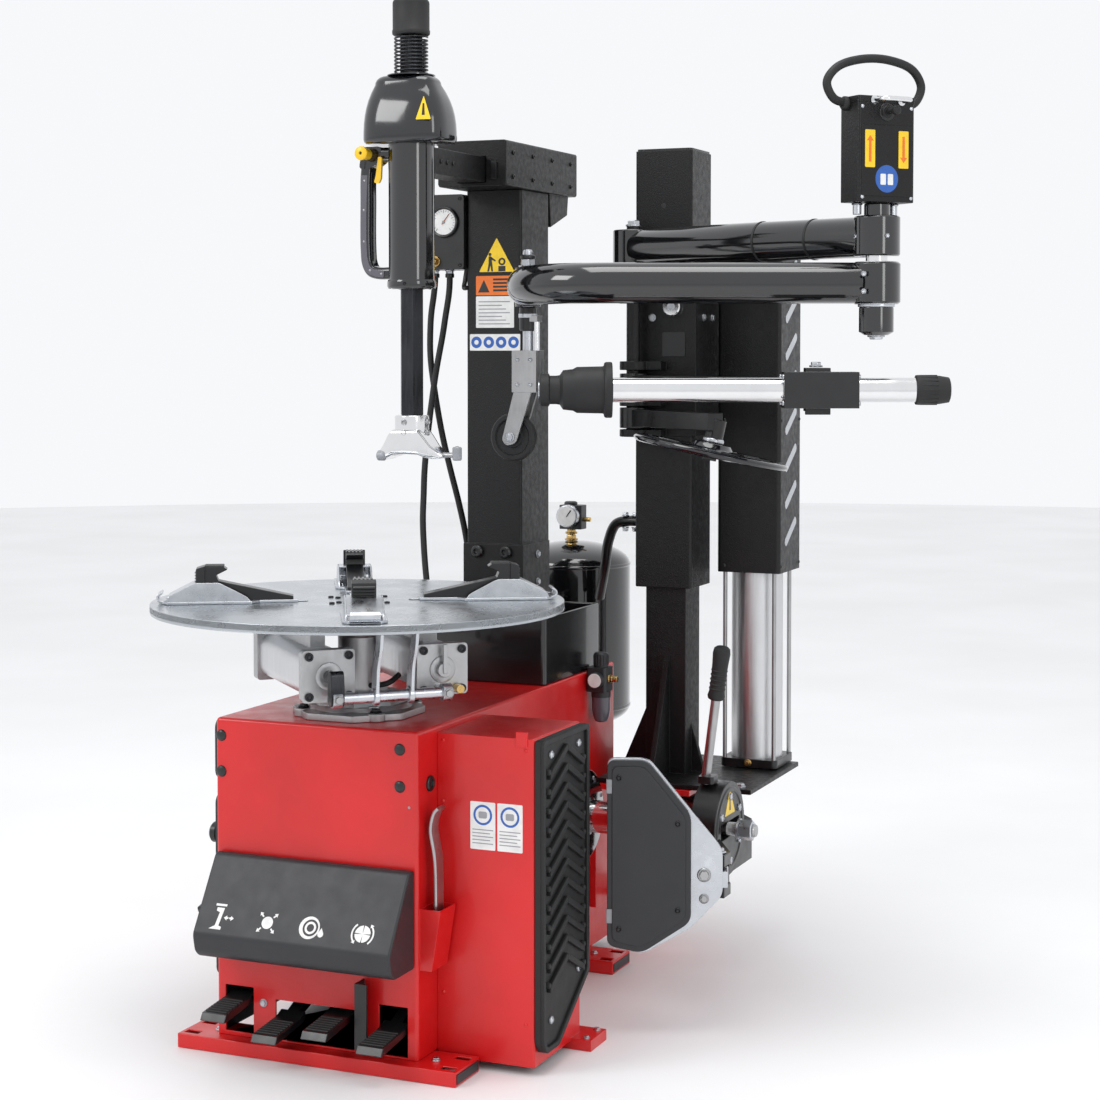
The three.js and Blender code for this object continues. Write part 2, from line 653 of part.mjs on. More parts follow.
const at = (x, y, z) => new THREE.Vector3(x, y, z);
const hub = (x, y, radius, z, bore) =>
  cut(rod("z", radius, z, [x, y], 24), rod("z", bore + 0.5, [z[0] - 1, z[1] + 1], [x, y], 16));

function upperArm() {
  const z = [UPPER_Z - ARM_TUBE, UPPER_Z + ARM_TUBE];
  const elbow = at(ELBOW.x, ELBOW.y, UPPER_Z);
  const knee = at(520, 553, UPPER_Z);
  const root = at(PIVOT.x, PIVOT.y, UPPER_Z);
  const bend = new THREE.QuadraticBezierCurve3(
    knee.clone().lerp(root, 0.35),
    knee,
    knee.clone().lerp(elbow, 0.3),
  );
  const route = new THREE.CurvePath();
  route.add(new THREE.LineCurve3(root.clone().lerp(knee, 0.08), bend.v0));
  route.add(bend);
  route.add(new THREE.LineCurve3(bend.v2, elbow));
  const pin = join(
    rod("z", ELBOW.pin, [1290, z[0] + 20], [ELBOW.x, ELBOW.y], 20),
    rod("z", 32, [1296, 1344], [ELBOW.x, ELBOW.y], 24),
  );
  const tube = pipe(route, ARM_TUBE, 10, 10, 5);
  const drain = rod("z", 4, [z[0] - 1, UPPER_Z], [knee.x, knee.y], 8);
  const endHub = join(
    rod("z", 43, [z[0] + 2, z[1]], [ELBOW.x, ELBOW.y], 24),
    rod("z", 24, [z[1] - 4, 1532], [ELBOW.x, ELBOW.y], 20),
  );
  const rootHub = rod("z", 42, z, [PIVOT.x, PIVOT.y], 24);
  const bore = rod("z", PIVOT.pin + 0.5, [z[0] - 1, z[1] + 9], [PIVOT.x, PIVOT.y], 16);
  return cut(join(tube, endHub, pin, rootHub), bore, drain);
}

function foreArm() {
  const start = at(ELBOW.x, ELBOW.y, FORE_Z).addScaledVector(along, -30);
  const corner = at(ELBOW.x, ELBOW.y, FORE_Z).addScaledVector(along, -FORE.straight);
  const centre = corner.clone().addScaledVector(across, FORE.bend);
  const arc = Array.from({ length: 9 }, (_, i) => {
    const sweep = (Math.PI / 2) * (i / 8);
    return centre
      .clone()
      .addScaledVector(across, -FORE.bend * Math.cos(sweep))
      .addScaledVector(along, -FORE.bend * Math.sin(sweep));
  });
  const end = arc[8].clone().addScaledVector(across, FORE.tail);
  const route = path(start, ...arc, end);
  const z = [FORE_Z - ARM_TUBE, FORE_Z + ARM_TUBE];
  const tube = pipe(route, ARM_TUBE, 20, 10, 5);
  const collar = rod("z", 44, z, [ELBOW.x, ELBOW.y], 24);
  const elbowBore = rod("z", ELBOW.pin + 0.5, [z[0] - 1, z[1] + 1], [ELBOW.x, ELBOW.y], 20);
  const rodBore = rod("z", 11, [z[0] - 9, z[1] + 9], [PRESS.x, PRESS.y], 16);
  return cut(join(tube, collar), elbowBore, rodBore);
}

// The rod hangs in the fore arm; its fork carries the pressing roller.
const ROLLER = { drop: 1092, radius: 48, halfWidth: 11, out: 30 };

function pressRod() {
  const { x, y } = PRESS;
  const rodPart = join(
    rod("z", 10, [1200, 1459], [x, y], 16),
    rod("z", 17, [FORE_Z + ARM_TUBE + GAP, 1446], [x, y], 6),
    rod("z", 17, [1300, FORE_Z - ARM_TUBE - GAP], [x, y], 20),
  );
  const block = box([x - 26, x + 26], [y - 20, y + 20], [1180, 1262]);
  const twin = rod("z", 7, [1240, 1330], [x + 18, y], 12);
  const strap = box([x - 4, x + 26], [y - 14, y + 14], [1318, 1330]);
  const cheeks = [-1, 1].map((side) =>
    prism(
      "y",
      [
        [x - 20, 1190], [x - ROLLER.out - 18, ROLLER.drop - 6], [x - ROLLER.out - 6, ROLLER.drop - 18],
        [x - ROLLER.out + 12, ROLLER.drop - 10], [x + 18, 1190],
      ],
      [y + side * (ROLLER.halfWidth + 5) - 3, y + side * (ROLLER.halfWidth + 5) + 3],
    ),
  );
  const pin = rod("y", 6, [y - 20, y + 20], [x - ROLLER.out, ROLLER.drop], 12);
  return join(rodPart, block, twin, strap, ...cheeks, pin);
}

function pressRoller() {
  const { x, y } = PRESS;
  const axle = [x - ROLLER.out, ROLLER.drop];
  const half = ROLLER.halfWidth - 1;
  const wheel = rod("y", ROLLER.radius, [y - half, y + half], axle, 28);
  return cut(wheel, rod("y", 6.5, [y - 30, y + 30], axle, 12));
}

const blockHinge = at(BLOCK.x, BLOCK.y, BLOCK.z).addScaledVector(across, BLOCK_HINGE);

function lowerArm() {
  const z = [1165, 1215];
  const root = at(PIVOT.x, PIVOT.y, BLOCK.z);
  const reach = blockHinge.clone().sub(root);
  const length = reach.length();
  const heading = THREE.MathUtils.radToDeg(Math.atan2(reach.y, reach.x));
  const beam = turn(box([20, length - 18], [-19, 19], inside(z, 4)), heading);
  const made = join(
    shift(beam, PIVOT.x, PIVOT.y),
    rod("z", PIVOT.hub, z, [PIVOT.x, PIVOT.y], 24),
    rod("z", 23, z, [blockHinge.x, blockHinge.y], 20),
  );
  const bore = rod("z", PIVOT.pin + 0.5, [1100, 1300], [PIVOT.x, PIVOT.y], 16);
  const pinBore = rod("z", 10.5, [1100, 1300], [blockHinge.x, blockHinge.y], 16);
  return cut(made, bore, pinBore);
}

// Pieces along the centring bar are drawn on the X axis, then turned and put in place.
const onBar = (made) => shift(turn(made, VIEW_TURN), BLOCK.x, BLOCK.y);

function slideBlock() {
  const { z, halfLength, half } = BLOCK;
  const block = box([-halfLength, halfLength], [-half, half], [z - half, z + half]);
  const ears = [[z + 28, z + 40], [z - 40, z - 28]].map((span) =>
    join(
      rod("z", 23, span, [0, BLOCK_HINGE], 20),
      box([-23, 23], [half - 6, BLOCK_HINGE], span),
      box([-23, 23], [half - 10, half], [Math.min(...span) - 6, Math.max(...span)]),
    ),
  );
  const pin = rod("z", 10, [z - 38, z + 38], [0, BLOCK_HINGE], 16);
  const bore = rod("x", CENTRING.radius + 0.6, [-99, 99], [0, z], 24);
  return onBar(cut(join(block, ...ears, pin), bore));
}

function centringBar() {
  const { radius, left, right, tip } = CENTRING;
  return onBar(
    join(
      rod("x", radius, [left, right + 2], [0, BLOCK.z], 24),
      rod("x", 11, [tip, left + 5], [0, BLOCK.z], 16),
      rod("x", 27, [right, right + 63], [0, BLOCK.z], 24, 23),
    ),
  );
}

function centringCone() {
  const { left } = CENTRING;
  const made = join(
    rod("x", 51, [left - 16, left - GAP], [0, BLOCK.z], 28, 48),
    rod("x", 39, [left - 128, left - 14], [0, BLOCK.z], 28, 43),
    rod("x", 34, [left - 134, left - 126], [0, BLOCK.z], 28, 39),
  );
  return onBar(cut(made, rod("x", 11.5, [left - 140, left + 1], [0, BLOCK.z], 16)));
}

// Drawn about the Z axis; the disc leans about the line across the parked arms.
function discFrame(made) {
  const { x, y, z, tilt } = LIFT_DISC;
  return shift(turn(made.rotate([0, tilt, 0]), VIEW_TURN), x, y, z);
}

function liftDisc() {
  const { radius } = LIFT_DISC;
  return discFrame(
    turned(
      [
        [9, -7], [radius - 8, -7], [radius, -2], [radius, 3], [radius - 8, 7], [44, 7], [34, 18],
        [9, 18], [9, -7],
      ],
      0, 0, 36,
    ),
  );
}

function liftArm() {
  const z = [1103, 1145];
  const reach = at(LIFT_DISC.x - PIVOT.x, LIFT_DISC.y - PIVOT.y, 0);
  const heading = THREE.MathUtils.radToDeg(Math.atan2(reach.y, reach.x));
  const flat = box([18, reach.length() + 16], [-17, 17], inside(z, 4));
  const beam = shift(turn(flat, heading), PIVOT.x, PIVOT.y);
  const stub = discFrame(join(rod("z", 8.4, [-10, 70], [0, 0], 14), rod("z", 18, [19, 64], [0, 0], 18)));
  const nut = discFrame(rod("z", 15, [-16, -7 - GAP], [0, 0], 6));
  const root = rod("z", PIVOT.hub, z, [PIVOT.x, PIVOT.y], 24);
  const bore = rod("z", PIVOT.pin + 0.5, [1050, 1200], [PIVOT.x, PIVOT.y], 16);
  return cut(join(beam, root, stub, nut), bore);
}

// The control box is drawn facing -Y and then turned to face the worker.
const CONTROL = { turn: 50, z: [1533, 1725], halfWidth: 62, halfDepth: 30 };
const LEVER_DROP = 28; // of the control lever below the box's top
const onElbow = (made) => shift(turn(made, CONTROL.turn), ELBOW.x, ELBOW.y);

function controlBox() {
  const { z, halfWidth, halfDepth } = CONTROL;
  const housing = box([-halfWidth, halfWidth], [-halfDepth, halfDepth], z);
  const loopPoints = [
    [-58, -12], [-90, -4], [-105, 24], [-84, 52], [-32, 70], [32, 72], [86, 56], [105, 26], [90, -4],
    [58, -12],
  ].map(([x, above]) => at(x, 10, z[1] + above));
  const loop = pipe(new THREE.CatmullRomCurve3(loopPoints), 8, 26, 8);
  const guard = pipe(
    path(at(-30, -20, z[1] - 8), at(-30, -66, z[1] - 8), at(30, -66, z[1] - 8), at(30, -20, z[1] - 8)),
    4.5, 9, 8,
  );
  const leverWell = rod("y", 15, [-halfDepth - 1, -halfDepth + 12], [0, z[1] - LEVER_DROP], 16);
  return onElbow(cut(join(housing, loop, guard), leverWell));
}

function controlLever() {
  const { z, halfDepth } = CONTROL;
  const height = z[1] - LEVER_DROP;
  return onElbow(
    join(
      rod("y", 5, [-halfDepth - 26, -halfDepth + 8], [0, height], 12),
      rod("y", 8, [-halfDepth - 34, -halfDepth - 20], [0, height], 14),
    ),
  );
}

// ---- Bead breaker ----
function breakerArm() {
  const { pivotX, pivotY, rodY, rodZ, armX } = BREAKER;
  const z = [250, 330];
  const plan = [
    [pivotX - 20, pivotY + 28], [pivotX + 30, pivotY + 20], [armX[1], 620], [armX[1], 420],
    [604, 330], [604, 292], [574, 292], [armX[0], 400], [armX[0], 606], [pivotX - 20, pivotY - 26],
  ];
  const beam = prism("z", plan.reverse(), z);
  const root = rod("z", 38, [132, 350], [pivotX, pivotY], 24);
  const boss = rod("x", 91, armX, [rodY, rodZ], 32);
  const slot = join(
    box([armX[0] - 9, armX[1] + 9], [rodY - 52, rodY + 58], [rodZ - 15, rodZ + 15]),
    rod("z", PIVOT.pin + 0.5, [100, 400], [pivotX, pivotY], 16),
    box([560, 620], [280, 340], [272, 308]),
  );
  const pin = rod("z", 9, [260, 320], [589, 311], 14);
  return join(cut(join(beam, root, boss), slot), pin);
}

const onBlade = (made) => shift(turn(made, BLADE.turn), BLADE.x, BLADE.y);

function breakerBlade() {
  const { half } = BLADE;
  const plate = prism(
    "y",
    [
      [-half, 166], [-half + 66, 152], [half - 60, 200], [half, 262], [half, 348], [-30, 514],
      [-half, 514],
    ],
    [-6, 6],
  );
  const cover = prism(
    "y",
    [[-half, 168], [-half + 64, 155], [48, 214], [48, 412], [-32, 511], [-half, 511]],
    [-16, -5],
  );
  const local = new THREE.Vector3(589 - BLADE.x, 311 - BLADE.y, 0).applyAxisAngle(
    new THREE.Vector3(0, 0, 1), rad(-BLADE.turn),
  );
  const knuckle = join(
    rod("z", 16, [274, 306], [local.x, local.y], 20),
    box([local.x - 14, local.x + 14], [0, local.y], [274, 306]),
  );
  const bore = rod("z", 9.5, [200, 400], [local.x, local.y], 14);
  return onBlade(cut(join(plate, cover, knuckle), bore));
}

function breakerRod() {
  const centre = [BREAKER.rodY, BREAKER.rodZ];
  return join(rod("x", 13, [300, 606], centre, 16), rod("x", 20, [574, 600], centre, 6));
}

function breakerLever() {
  const foot = at(512, 452, BREAKER.rodZ + 98);
  const top = at(550, 436, 690);
  const stick = pipe(path(foot, top), 9, 2, 12);
  const grip = pipe(path(foot.clone().lerp(top, 0.62), top.clone().lerp(foot, -0.04)), 17, 2, 12);
  const base = box([501, 533], [434, 470], [BREAKER.rodZ + 92, BREAKER.rodZ + 106]);
  return join(stick, grip, base);
}

// ---- Assembly ----
add("cabinet", cabinet(), "red");
add("side_wing", sideWing(), "red");
add("bead_pad", beadPad(), "rubber");
add("front_rail", rail(RAIL.frontY), "red");
add("rear_rail", rail(RAIL.rearY), "red");
add("pedal_hood", pedalHood(), "plastic");
PEDALS.forEach((place, i) => add("pedal_" + (i + 1), pedal(place), "black"));
add("gear_motor", gearMotor(), "aluminium");
add("table_disc", tableDisc(), "zinc");
add("table_spindle", tableSpindle(), "steel");
add("jaw_cylinder_right", jawCylinder(1), "aluminium");
add("jaw_cylinder_left", jawCylinder(-1), "aluminium");
["jaw_right", "jaw_back", "jaw_left", "jaw_front"].forEach((name, i) => add(name, jaw(i), "zinc"));
add("storage_tray", storageTray(), "plastic");
add("tire_lever", tireLever(), "steel");
add("air_tank", airTank(), "gloss");
add("filter_regulator", filterRegulator(), "plastic");
add("helper_bracket", helperBracket(), "red");
add("bead_cylinder", beadCylinder(), "gloss");
add("tilt_column", tiltColumn(), "textured");
add("arm_beam", armBeam(), "textured");
add("gauge_box", gaugeBox(), "black");
add("hose_to_tray", hose(HOSE_TO_TRAY), "rubber");
add("hose_to_cabinet", hose(HOSE_TO_CABINET), "rubber");
add("arm_bar", armBar(), "textured");
add("head_housing", headHousing(), "gloss");
add("head_hood", headHood(), "gloss");
add("grip_handle", gripHandle(), "gloss");
add("lock_button", lockButton(), "yellow");
add("tool_shaft", rod("z", SHAFT.hexRadius, SHAFT.z, [0, HEAD.y], 6), "black");
add("shaft_cap", rod("z", CAP.radius, [SHAFT.z[1] + GAP, CAP.top], [0, HEAD.y], 28, 34), "rubber");
add(
  "shaft_spring",
  cut(
    rod("z", SPRING.outer, SPRING.z, [0, HEAD.y], 24),
    rod("z", SPRING.inner, [SPRING.z[0] - 1, SPRING.z[1] + 1], [0, HEAD.y], 24),
  ),
  "black",
);
add("mount_head", mountHead(), "chrome");
add("helper_column", helperColumn(), "textured");
add("lift_cylinder", liftCylinder(), "aluminium");
add("carriage", carriage(), "textured");
add("carriage_cover", carriageCover(), "textured");
add("lift_rod", liftRod(), "chrome");
add("upper_arm", upperArm(), "gloss");
add("fore_arm", foreArm(), "gloss");
add("press_rod", pressRod(), "zinc");
add("press_roller", pressRoller(), "rubber");
add("lower_arm", lowerArm(), "black");
add("slide_block", slideBlock(), "black");
add("centring_bar", centringBar(), "chrome");
add("centring_cone", centringCone(), "rubber");
add("lift_arm", liftArm(), "black");
add("lift_disc", liftDisc(), "rubber");
add("control_box", controlBox(), "textured");
add("control_lever", controlLever(), "black");
add("breaker_arm", breakerArm(), "black");
add("breaker_blade", breakerBlade(), "black");
add("breaker_rod", breakerRod(), "zinc");
add("breaker_lever", breakerLever(), "steel");

const bounds = new THREE.Box3().setFromObject(machine);
const middle = bounds.getCenter(new THREE.Vector3());
machine.position.set(-middle.x, -middle.y, -bounds.min.z);

const group = new THREE.Group();
group.add(machine);

export default group;
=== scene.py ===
"""Looks of the tire changer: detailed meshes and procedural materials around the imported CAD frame.

Lengths in this file are millimetres in the machine's own frame: the turntable's axis is X = Y = 0 and
the floor is Z = 0. piece() turns every finished mesh into metres in the part's frame.
"""
import json
import math

import bmesh
import bpy
from mathutils import Matrix, Vector


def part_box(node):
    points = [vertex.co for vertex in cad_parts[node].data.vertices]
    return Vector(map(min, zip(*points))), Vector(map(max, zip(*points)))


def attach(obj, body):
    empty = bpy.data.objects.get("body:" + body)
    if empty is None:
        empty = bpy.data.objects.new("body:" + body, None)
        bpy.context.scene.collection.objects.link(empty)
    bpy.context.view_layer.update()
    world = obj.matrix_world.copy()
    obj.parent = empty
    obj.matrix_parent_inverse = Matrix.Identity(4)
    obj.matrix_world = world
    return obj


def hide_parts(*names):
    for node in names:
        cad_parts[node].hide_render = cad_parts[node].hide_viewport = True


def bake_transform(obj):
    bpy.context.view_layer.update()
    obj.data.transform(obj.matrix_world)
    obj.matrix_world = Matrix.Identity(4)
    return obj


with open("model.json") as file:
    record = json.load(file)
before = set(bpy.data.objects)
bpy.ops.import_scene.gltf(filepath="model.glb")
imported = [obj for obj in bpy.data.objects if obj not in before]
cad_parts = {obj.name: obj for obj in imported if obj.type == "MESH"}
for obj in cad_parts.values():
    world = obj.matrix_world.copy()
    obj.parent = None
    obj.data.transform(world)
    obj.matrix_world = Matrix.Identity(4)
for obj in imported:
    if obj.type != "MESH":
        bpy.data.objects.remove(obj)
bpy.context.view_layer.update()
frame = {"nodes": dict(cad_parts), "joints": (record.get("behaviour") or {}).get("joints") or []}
JOINTS = {joint["name"]: joint for joint in frame["joints"]}
AXIS = Vector(JOINTS["turntable_spin"]["pos_m"][:2]).to_3d()
TO_FRAME = Matrix.Translation(AXIS) @ Matrix.Scale(0.001, 4)


def span(node):
    """The lowest and highest corner of a CAD node, in millimetres in the machine's frame."""
    return [(Vector(corner) - AXIS) * 1000 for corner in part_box(node)]


def pivot(joint):
    """Where a hinge turns, in millimetres in the machine's frame."""
    return (Vector(JOINTS[joint]["pos_m"]) - AXIS) * 1000


# ---------------------------------------------------------------- materials
class Nodes:
    """A short way to build one material's node tree."""

    def __init__(self, name):
        self.material = bpy.data.materials.new(name)
        self.material.use_nodes = True
        self.tree = self.material.node_tree
        self.shader = self.tree.nodes["Principled BSDF"]
        self.place = self.make("ShaderNodeTexCoord").outputs["Object"]

    def make(self, kind, **settings):
        node = self.tree.nodes.new(kind)
        for key, value in settings.items():
            setattr(node, key, value)
        return node

    def link(self, output, socket):
        self.tree.links.new(output, socket)

    def noise(self, scale, detail=3.0, stretch=(1, 1, 1), rough=0.5):
        mapping = self.make("ShaderNodeMapping")
        mapping.inputs["Scale"].default_value = stretch
        self.link(self.place, mapping.inputs["Vector"])
        node = self.make("ShaderNodeTexNoise")
        node.inputs["Scale"].default_value = scale
        node.inputs["Detail"].default_value = detail
        node.inputs["Roughness"].default_value = rough
        self.link(mapping.outputs["Vector"], node.inputs["Vector"])
        return node.outputs["Fac"]

    def cells(self, scale):
        node = self.make("ShaderNodeTexVoronoi", feature="SMOOTH_F1")
        node.inputs["Scale"].default_value = scale
        self.link(self.place, node.inputs["Vector"])
        return node.outputs["Distance"]

    def ramp(self, value, low, high, at=(0.35, 0.65)):
        node = self.make("ShaderNodeValToRGB")
        first, last = node.color_ramp.elements
        first.position, last.position = at
        first.color = (*low, 1)
        last.color = (*high, 1)
        self.link(value, node.inputs["Fac"])
        return node.outputs["Color"]

    def range(self, value, low, high, source=(0.3, 0.7)):
        node = self.make("ShaderNodeMapRange")
        node.inputs["From Min"].default_value, node.inputs["From Max"].default_value = source
        node.inputs["To Min"].default_value = low
        node.inputs["To Max"].default_value = high
        self.link(value, node.inputs["Value"])
        return node.outputs["Result"]

    def mix(self, amount, low, high):
        node = self.make("ShaderNodeMix", data_type="RGBA")
        self.link(amount, node.inputs["Factor"])
        self.link(low, node.inputs["A"])
        self.link(high, node.inputs["B"])
        return node.outputs["Result"]

    def bump(self, height, strength, depth=0.001, below=None):
        node = self.make("ShaderNodeBump")
        node.inputs["Strength"].default_value = strength
        node.inputs["Distance"].default_value = depth
        self.link(height, node.inputs["Height"])
        if below is not None:
            self.link(below, node.inputs["Normal"])
        return node.outputs["Normal"]

    def wire(self, colour=None, rough=None, normal=None):
        if colour is not None:
            self.link(colour, self.shader.inputs["Base Color"])
        if rough is not None:
            self.link(rough, self.shader.inputs["Roughness"])
        if normal is not None:
            self.link(normal, self.shader.inputs["Normal"])
        return self.material

    def fixed(self, **values):
        for key, value in values.items():
            self.shader.inputs[key.replace("_", " ")].default_value = value


def shade(colour, factor):
    return tuple(min(1.0, channel * factor) for channel in colour)


def painted(name, colour, rough, peel=0.05, coat=0.35, dust=0.012):
    """Sprayed or powder-coated metal: slight colour drift, orange peel and a little dust."""
    n = Nodes(name)
    drift = n.ramp(n.noise(5, 4), shade(colour, 0.9), shade(colour, 1.08))
    dusty = n.ramp(n.noise(38, 6, rough=0.65), colour, tuple(c + dust for c in colour), (0.5, 0.8))
    amount = n.range(n.noise(9, 4), 0.0, 0.5, (0.45, 0.75))
    n.fixed(Coat_Weight=coat, Coat_Roughness=0.08, Metallic=0.0)
    fine = n.bump(n.noise(420, 2), peel, 0.0004)
    n.wire(n.mix(amount, drift, dusty), n.range(n.noise(26, 5), rough * 0.8, rough * 1.25), fine)
    return n.material


def grained(name, colour, rough, scale=520, strength=0.5, spec=0.5):
    """Textured powder coat: raised grains a millimetre or two across."""
    n = Nodes(name)
    grain = n.cells(scale)
    lumps = n.noise(scale * 1.7, 2)
    colours = n.mix(
        n.range(n.noise(7, 4), 0, 1),
        n.ramp(grain, shade(colour, 0.6), shade(colour, 1.5), (0.1, 0.6)),
        n.ramp(lumps, shade(colour, 0.8), shade(colour, 1.9), (0.4, 0.75)),
    )
    n.fixed(Specular_IOR_Level=spec)
    normal = n.bump(lumps, strength * 0.6, 0.0006, n.bump(grain, strength, 0.0009))
    return n.wire(colours, n.range(n.noise(90, 3), rough * 0.75, rough * 1.2), normal)


def moulded(name, colour, rough, scale=900, strength=0.12, coat=0.0):
    """Injection-moulded plastic or rubber with a fine even grain and slight scuffs."""
    n = Nodes(name)
    base = n.ramp(n.noise(14, 5), shade(colour, 0.94), shade(colour, 1.07))
    scuff = n.ramp(n.noise(120, 4, (1, 1, 0.15)), colour, tuple(c + 0.006 for c in colour), (0.6, 0.85))
    n.fixed(Coat_Weight=coat, Coat_Roughness=0.06)
    return n.wire(
        n.mix(n.range(n.noise(11, 3), 0, 0.3, (0.45, 0.7)), base, scuff),
        n.range(n.noise(35, 5), rough * 0.93, rough * 1.07),
        n.bump(n.noise(scale, 2), strength, 0.0004),
    )


def metal(name, colour, rough, brushed=(1, 1, 1), scale=60, strength=0.06, patches=0.12):
    """Bare, plated or machined metal; brushed stretches the marks along an axis."""
    n = Nodes(name)
    streaks = n.noise(scale, 6, brushed, 0.6)
    cloudy = n.noise(12, 5, rough=0.6)
    tint = n.mix(
        n.range(streaks, 0, 1),
        n.ramp(cloudy, shade(colour, 1 - patches), shade(colour, 1 + patches)),
        n.ramp(streaks, shade(colour, 1 - patches * 0.7), shade(colour, 1 + patches * 0.5)),
    )
    n.fixed(Metallic=1.0)
    return n.wire(tint, n.range(streaks, rough * 0.7, rough * 1.35), n.bump(streaks, strength, 0.0005))


def flat_print(name, colour):
    """A printed vinyl sticker: nearly even colour with a faint ink and dirt drift."""
    rough = 0.4
    n = Nodes(name)
    ink = n.ramp(n.noise(60, 4), shade(colour, 0.93), shade(colour, 1.05))
    n.fixed(Coat_Weight=0.2, Coat_Roughness=0.15)
    fine = n.bump(n.noise(300, 2), 0.04, 0.0003)
    return n.wire(ink, n.range(n.noise(45, 3), rough * 0.85, rough * 1.15), fine)


RED = painted("red_powder_coat", (0.62, 0.006, 0.007), 0.36, 0.04, 0.22)
BLACK = painted("satin_black_paint", (0.007, 0.0073, 0.008), 0.34, 0.08, 0.15, 0.004)
GLOSS = painted("gloss_black_paint", (0.0045, 0.0047, 0.0055), 0.10, 0.035, 0.9, 0.0008)
SHELL = painted("polished_black_plastic", (0.0055, 0.006, 0.0085), 0.12, 0.02, 0.7, 0.0012)
TEXTURED = grained("textured_black_coat", (0.0045, 0.0045, 0.005), 0.42, 460, 0.45, 0.35)
PLASTIC = moulded("charcoal_plastic", (0.021, 0.022, 0.025), 0.44, 1100, 0.14)
TRAY = moulded("black_tray_plastic", (0.005, 0.0053, 0.006), 0.20, 1200, 0.05, 0.6)
RUBBER = moulded("black_rubber", (0.009, 0.0092, 0.0098), 0.60, 800, 0.16)
ZINC = metal("bright_zinc", (0.55, 0.57, 0.60), 0.30, scale=46, strength=0.03, patches=0.14)
TABLE_ZINC = metal("table_zinc", (0.50, 0.53, 0.56), 0.27, scale=17, strength=0.012, patches=0.07)
STEEL = metal("worn_steel", (0.42, 0.42, 0.425), 0.36, (1, 1, 0.06), 190, 0.10, 0.18)
CHROME = metal("hard_chrome", (0.77, 0.775, 0.78), 0.10, (1, 1, 1), 30, 0.015, 0.05)
ALUMINIUM = metal("cast_aluminium", (0.46, 0.465, 0.47), 0.42, scale=130, strength=0.08, patches=0.10)
ANODISED = metal("anodised_tube", (0.66, 0.665, 0.675), 0.40, (1, 1, 0.03), 240, 0.04, 0.05)
DARK_STEEL = metal("blackened_steel", (0.045, 0.046, 0.05), 0.30, (1, 1, 0.1), 160, 0.08, 0.25)
BRASS = metal("brass_fitting", (0.62, 0.42, 0.16), 0.28, scale=90, strength=0.05)
YELLOW = moulded("yellow_plastic", (0.86, 0.52, 0.008), 0.36, 700, 0.06, 0.2)
LABEL_YELLOW = flat_print("label_yellow", (0.90, 0.60, 0.010))
LABEL_WHITE = flat_print("label_white", (0.78, 0.78, 0.77))
LABEL_ORANGE = flat_print("label_orange", (0.82, 0.17, 0.012))
LABEL_BLUE = flat_print("label_blue", (0.018, 0.105, 0.42))
LABEL_BLACK = flat_print("label_black", (0.010, 0.010, 0.011))
LABEL_GREY = flat_print("label_grey", (0.30, 0.31, 0.33))
# This smoky colour is the filter bowl's real smoky plastic. On the grip it is painted sheen: lighter
# purple-grey strips that stand in for the glossy black grip's shine.
SMOKY_AND_GRIP_SHEEN = moulded("smoky_plastic_and_painted_grip_sheen", (0.10, 0.095, 0.115), 0.30, 600, 0.10, 0.3)


# ---------------------------------------------------------------- mesh tools
def arc(centre, radius, start, end, steps):
    """Points of an arc in a plane, from one angle to another in degrees."""
    turns = (math.radians(start + (end - start) * i / steps) for i in range(steps + 1))
    return [(centre[0] + radius * math.cos(t), centre[1] + radius * math.sin(t)) for t in turns]


def circle(centre, radius, sides, start=0):
    """Evenly spaced points right round a circle, from a start angle in degrees."""
    return arc(centre, radius, start, start + 360 - 360 / sides, sides - 1)


def rounded(low, high, radius, steps=5):
    """A rectangle's outline with round corners, between two opposite corners."""
    (a0, b0), (a1, b1) = low, high
    corners = (((a1, b0), -90), ((a1, b1), 0), ((a0, b1), 90), ((a0, b0), 180))
    points = []
    for (a, b), start in corners:
        centre = (a - math.copysign(radius, a - (a0 + a1) / 2),
                  b - math.copysign(radius, b - (b0 + b1) / 2))
        points += arc(centre, radius, start, start + 90, steps)
    return points


def fillet(outline, radius, steps=4):
    """Rounds each corner of an outline with a short curve."""
    points = []
    for i, corner in enumerate(outline):
        here = Vector(corner)
        before = Vector(outline[i - 1]) - here
        after = Vector(outline[(i + 1) % len(outline)]) - here
        reach = min(radius, before.length * 0.45, after.length * 0.45)
        start = here + before.normalized() * reach
        end = here + after.normalized() * reach
        for k in range(steps + 1):
            t = k / steps
            points.append(tuple(start * (1 - t) ** 2 + here * 2 * t * (1 - t) + end * t**2))
    return points


def smooth_route(points, steps=8):
    """A centripetal Catmull-Rom curve through the points."""
    points = [Vector(p) for p in points]
    ends = [points[0] * 2 - points[1], *points, points[-1] * 2 - points[-2]]
    route = []
    for a, b, c, d in zip(ends, ends[1:], ends[2:], ends[3:]):
        ta = 0
        tb = ta + (b - a).length ** 0.5
        tc = tb + (c - b).length ** 0.5
        td = tc + (d - c).length ** 0.5
        for k in range(steps):
            t = tb + (tc - tb) * k / steps
            first = a * ((tb - t) / (tb - ta)) + b * ((t - ta) / (tb - ta))
            second = b * ((tc - t) / (tc - tb)) + c * ((t - tb) / (tc - tb))
            third = c * ((td - t) / (td - tc)) + d * ((t - tc) / (td - tc))
            left = first * ((tc - t) / (tc - ta)) + second * ((t - ta) / (tc - ta))
            right = second * ((td - t) / (td - tb)) + third * ((t - tb) / (td - tb))
            route.append(left * ((tc - t) / (tc - tb)) + right * ((t - tb) / (tc - tb)))
    return route + [points[-1]]


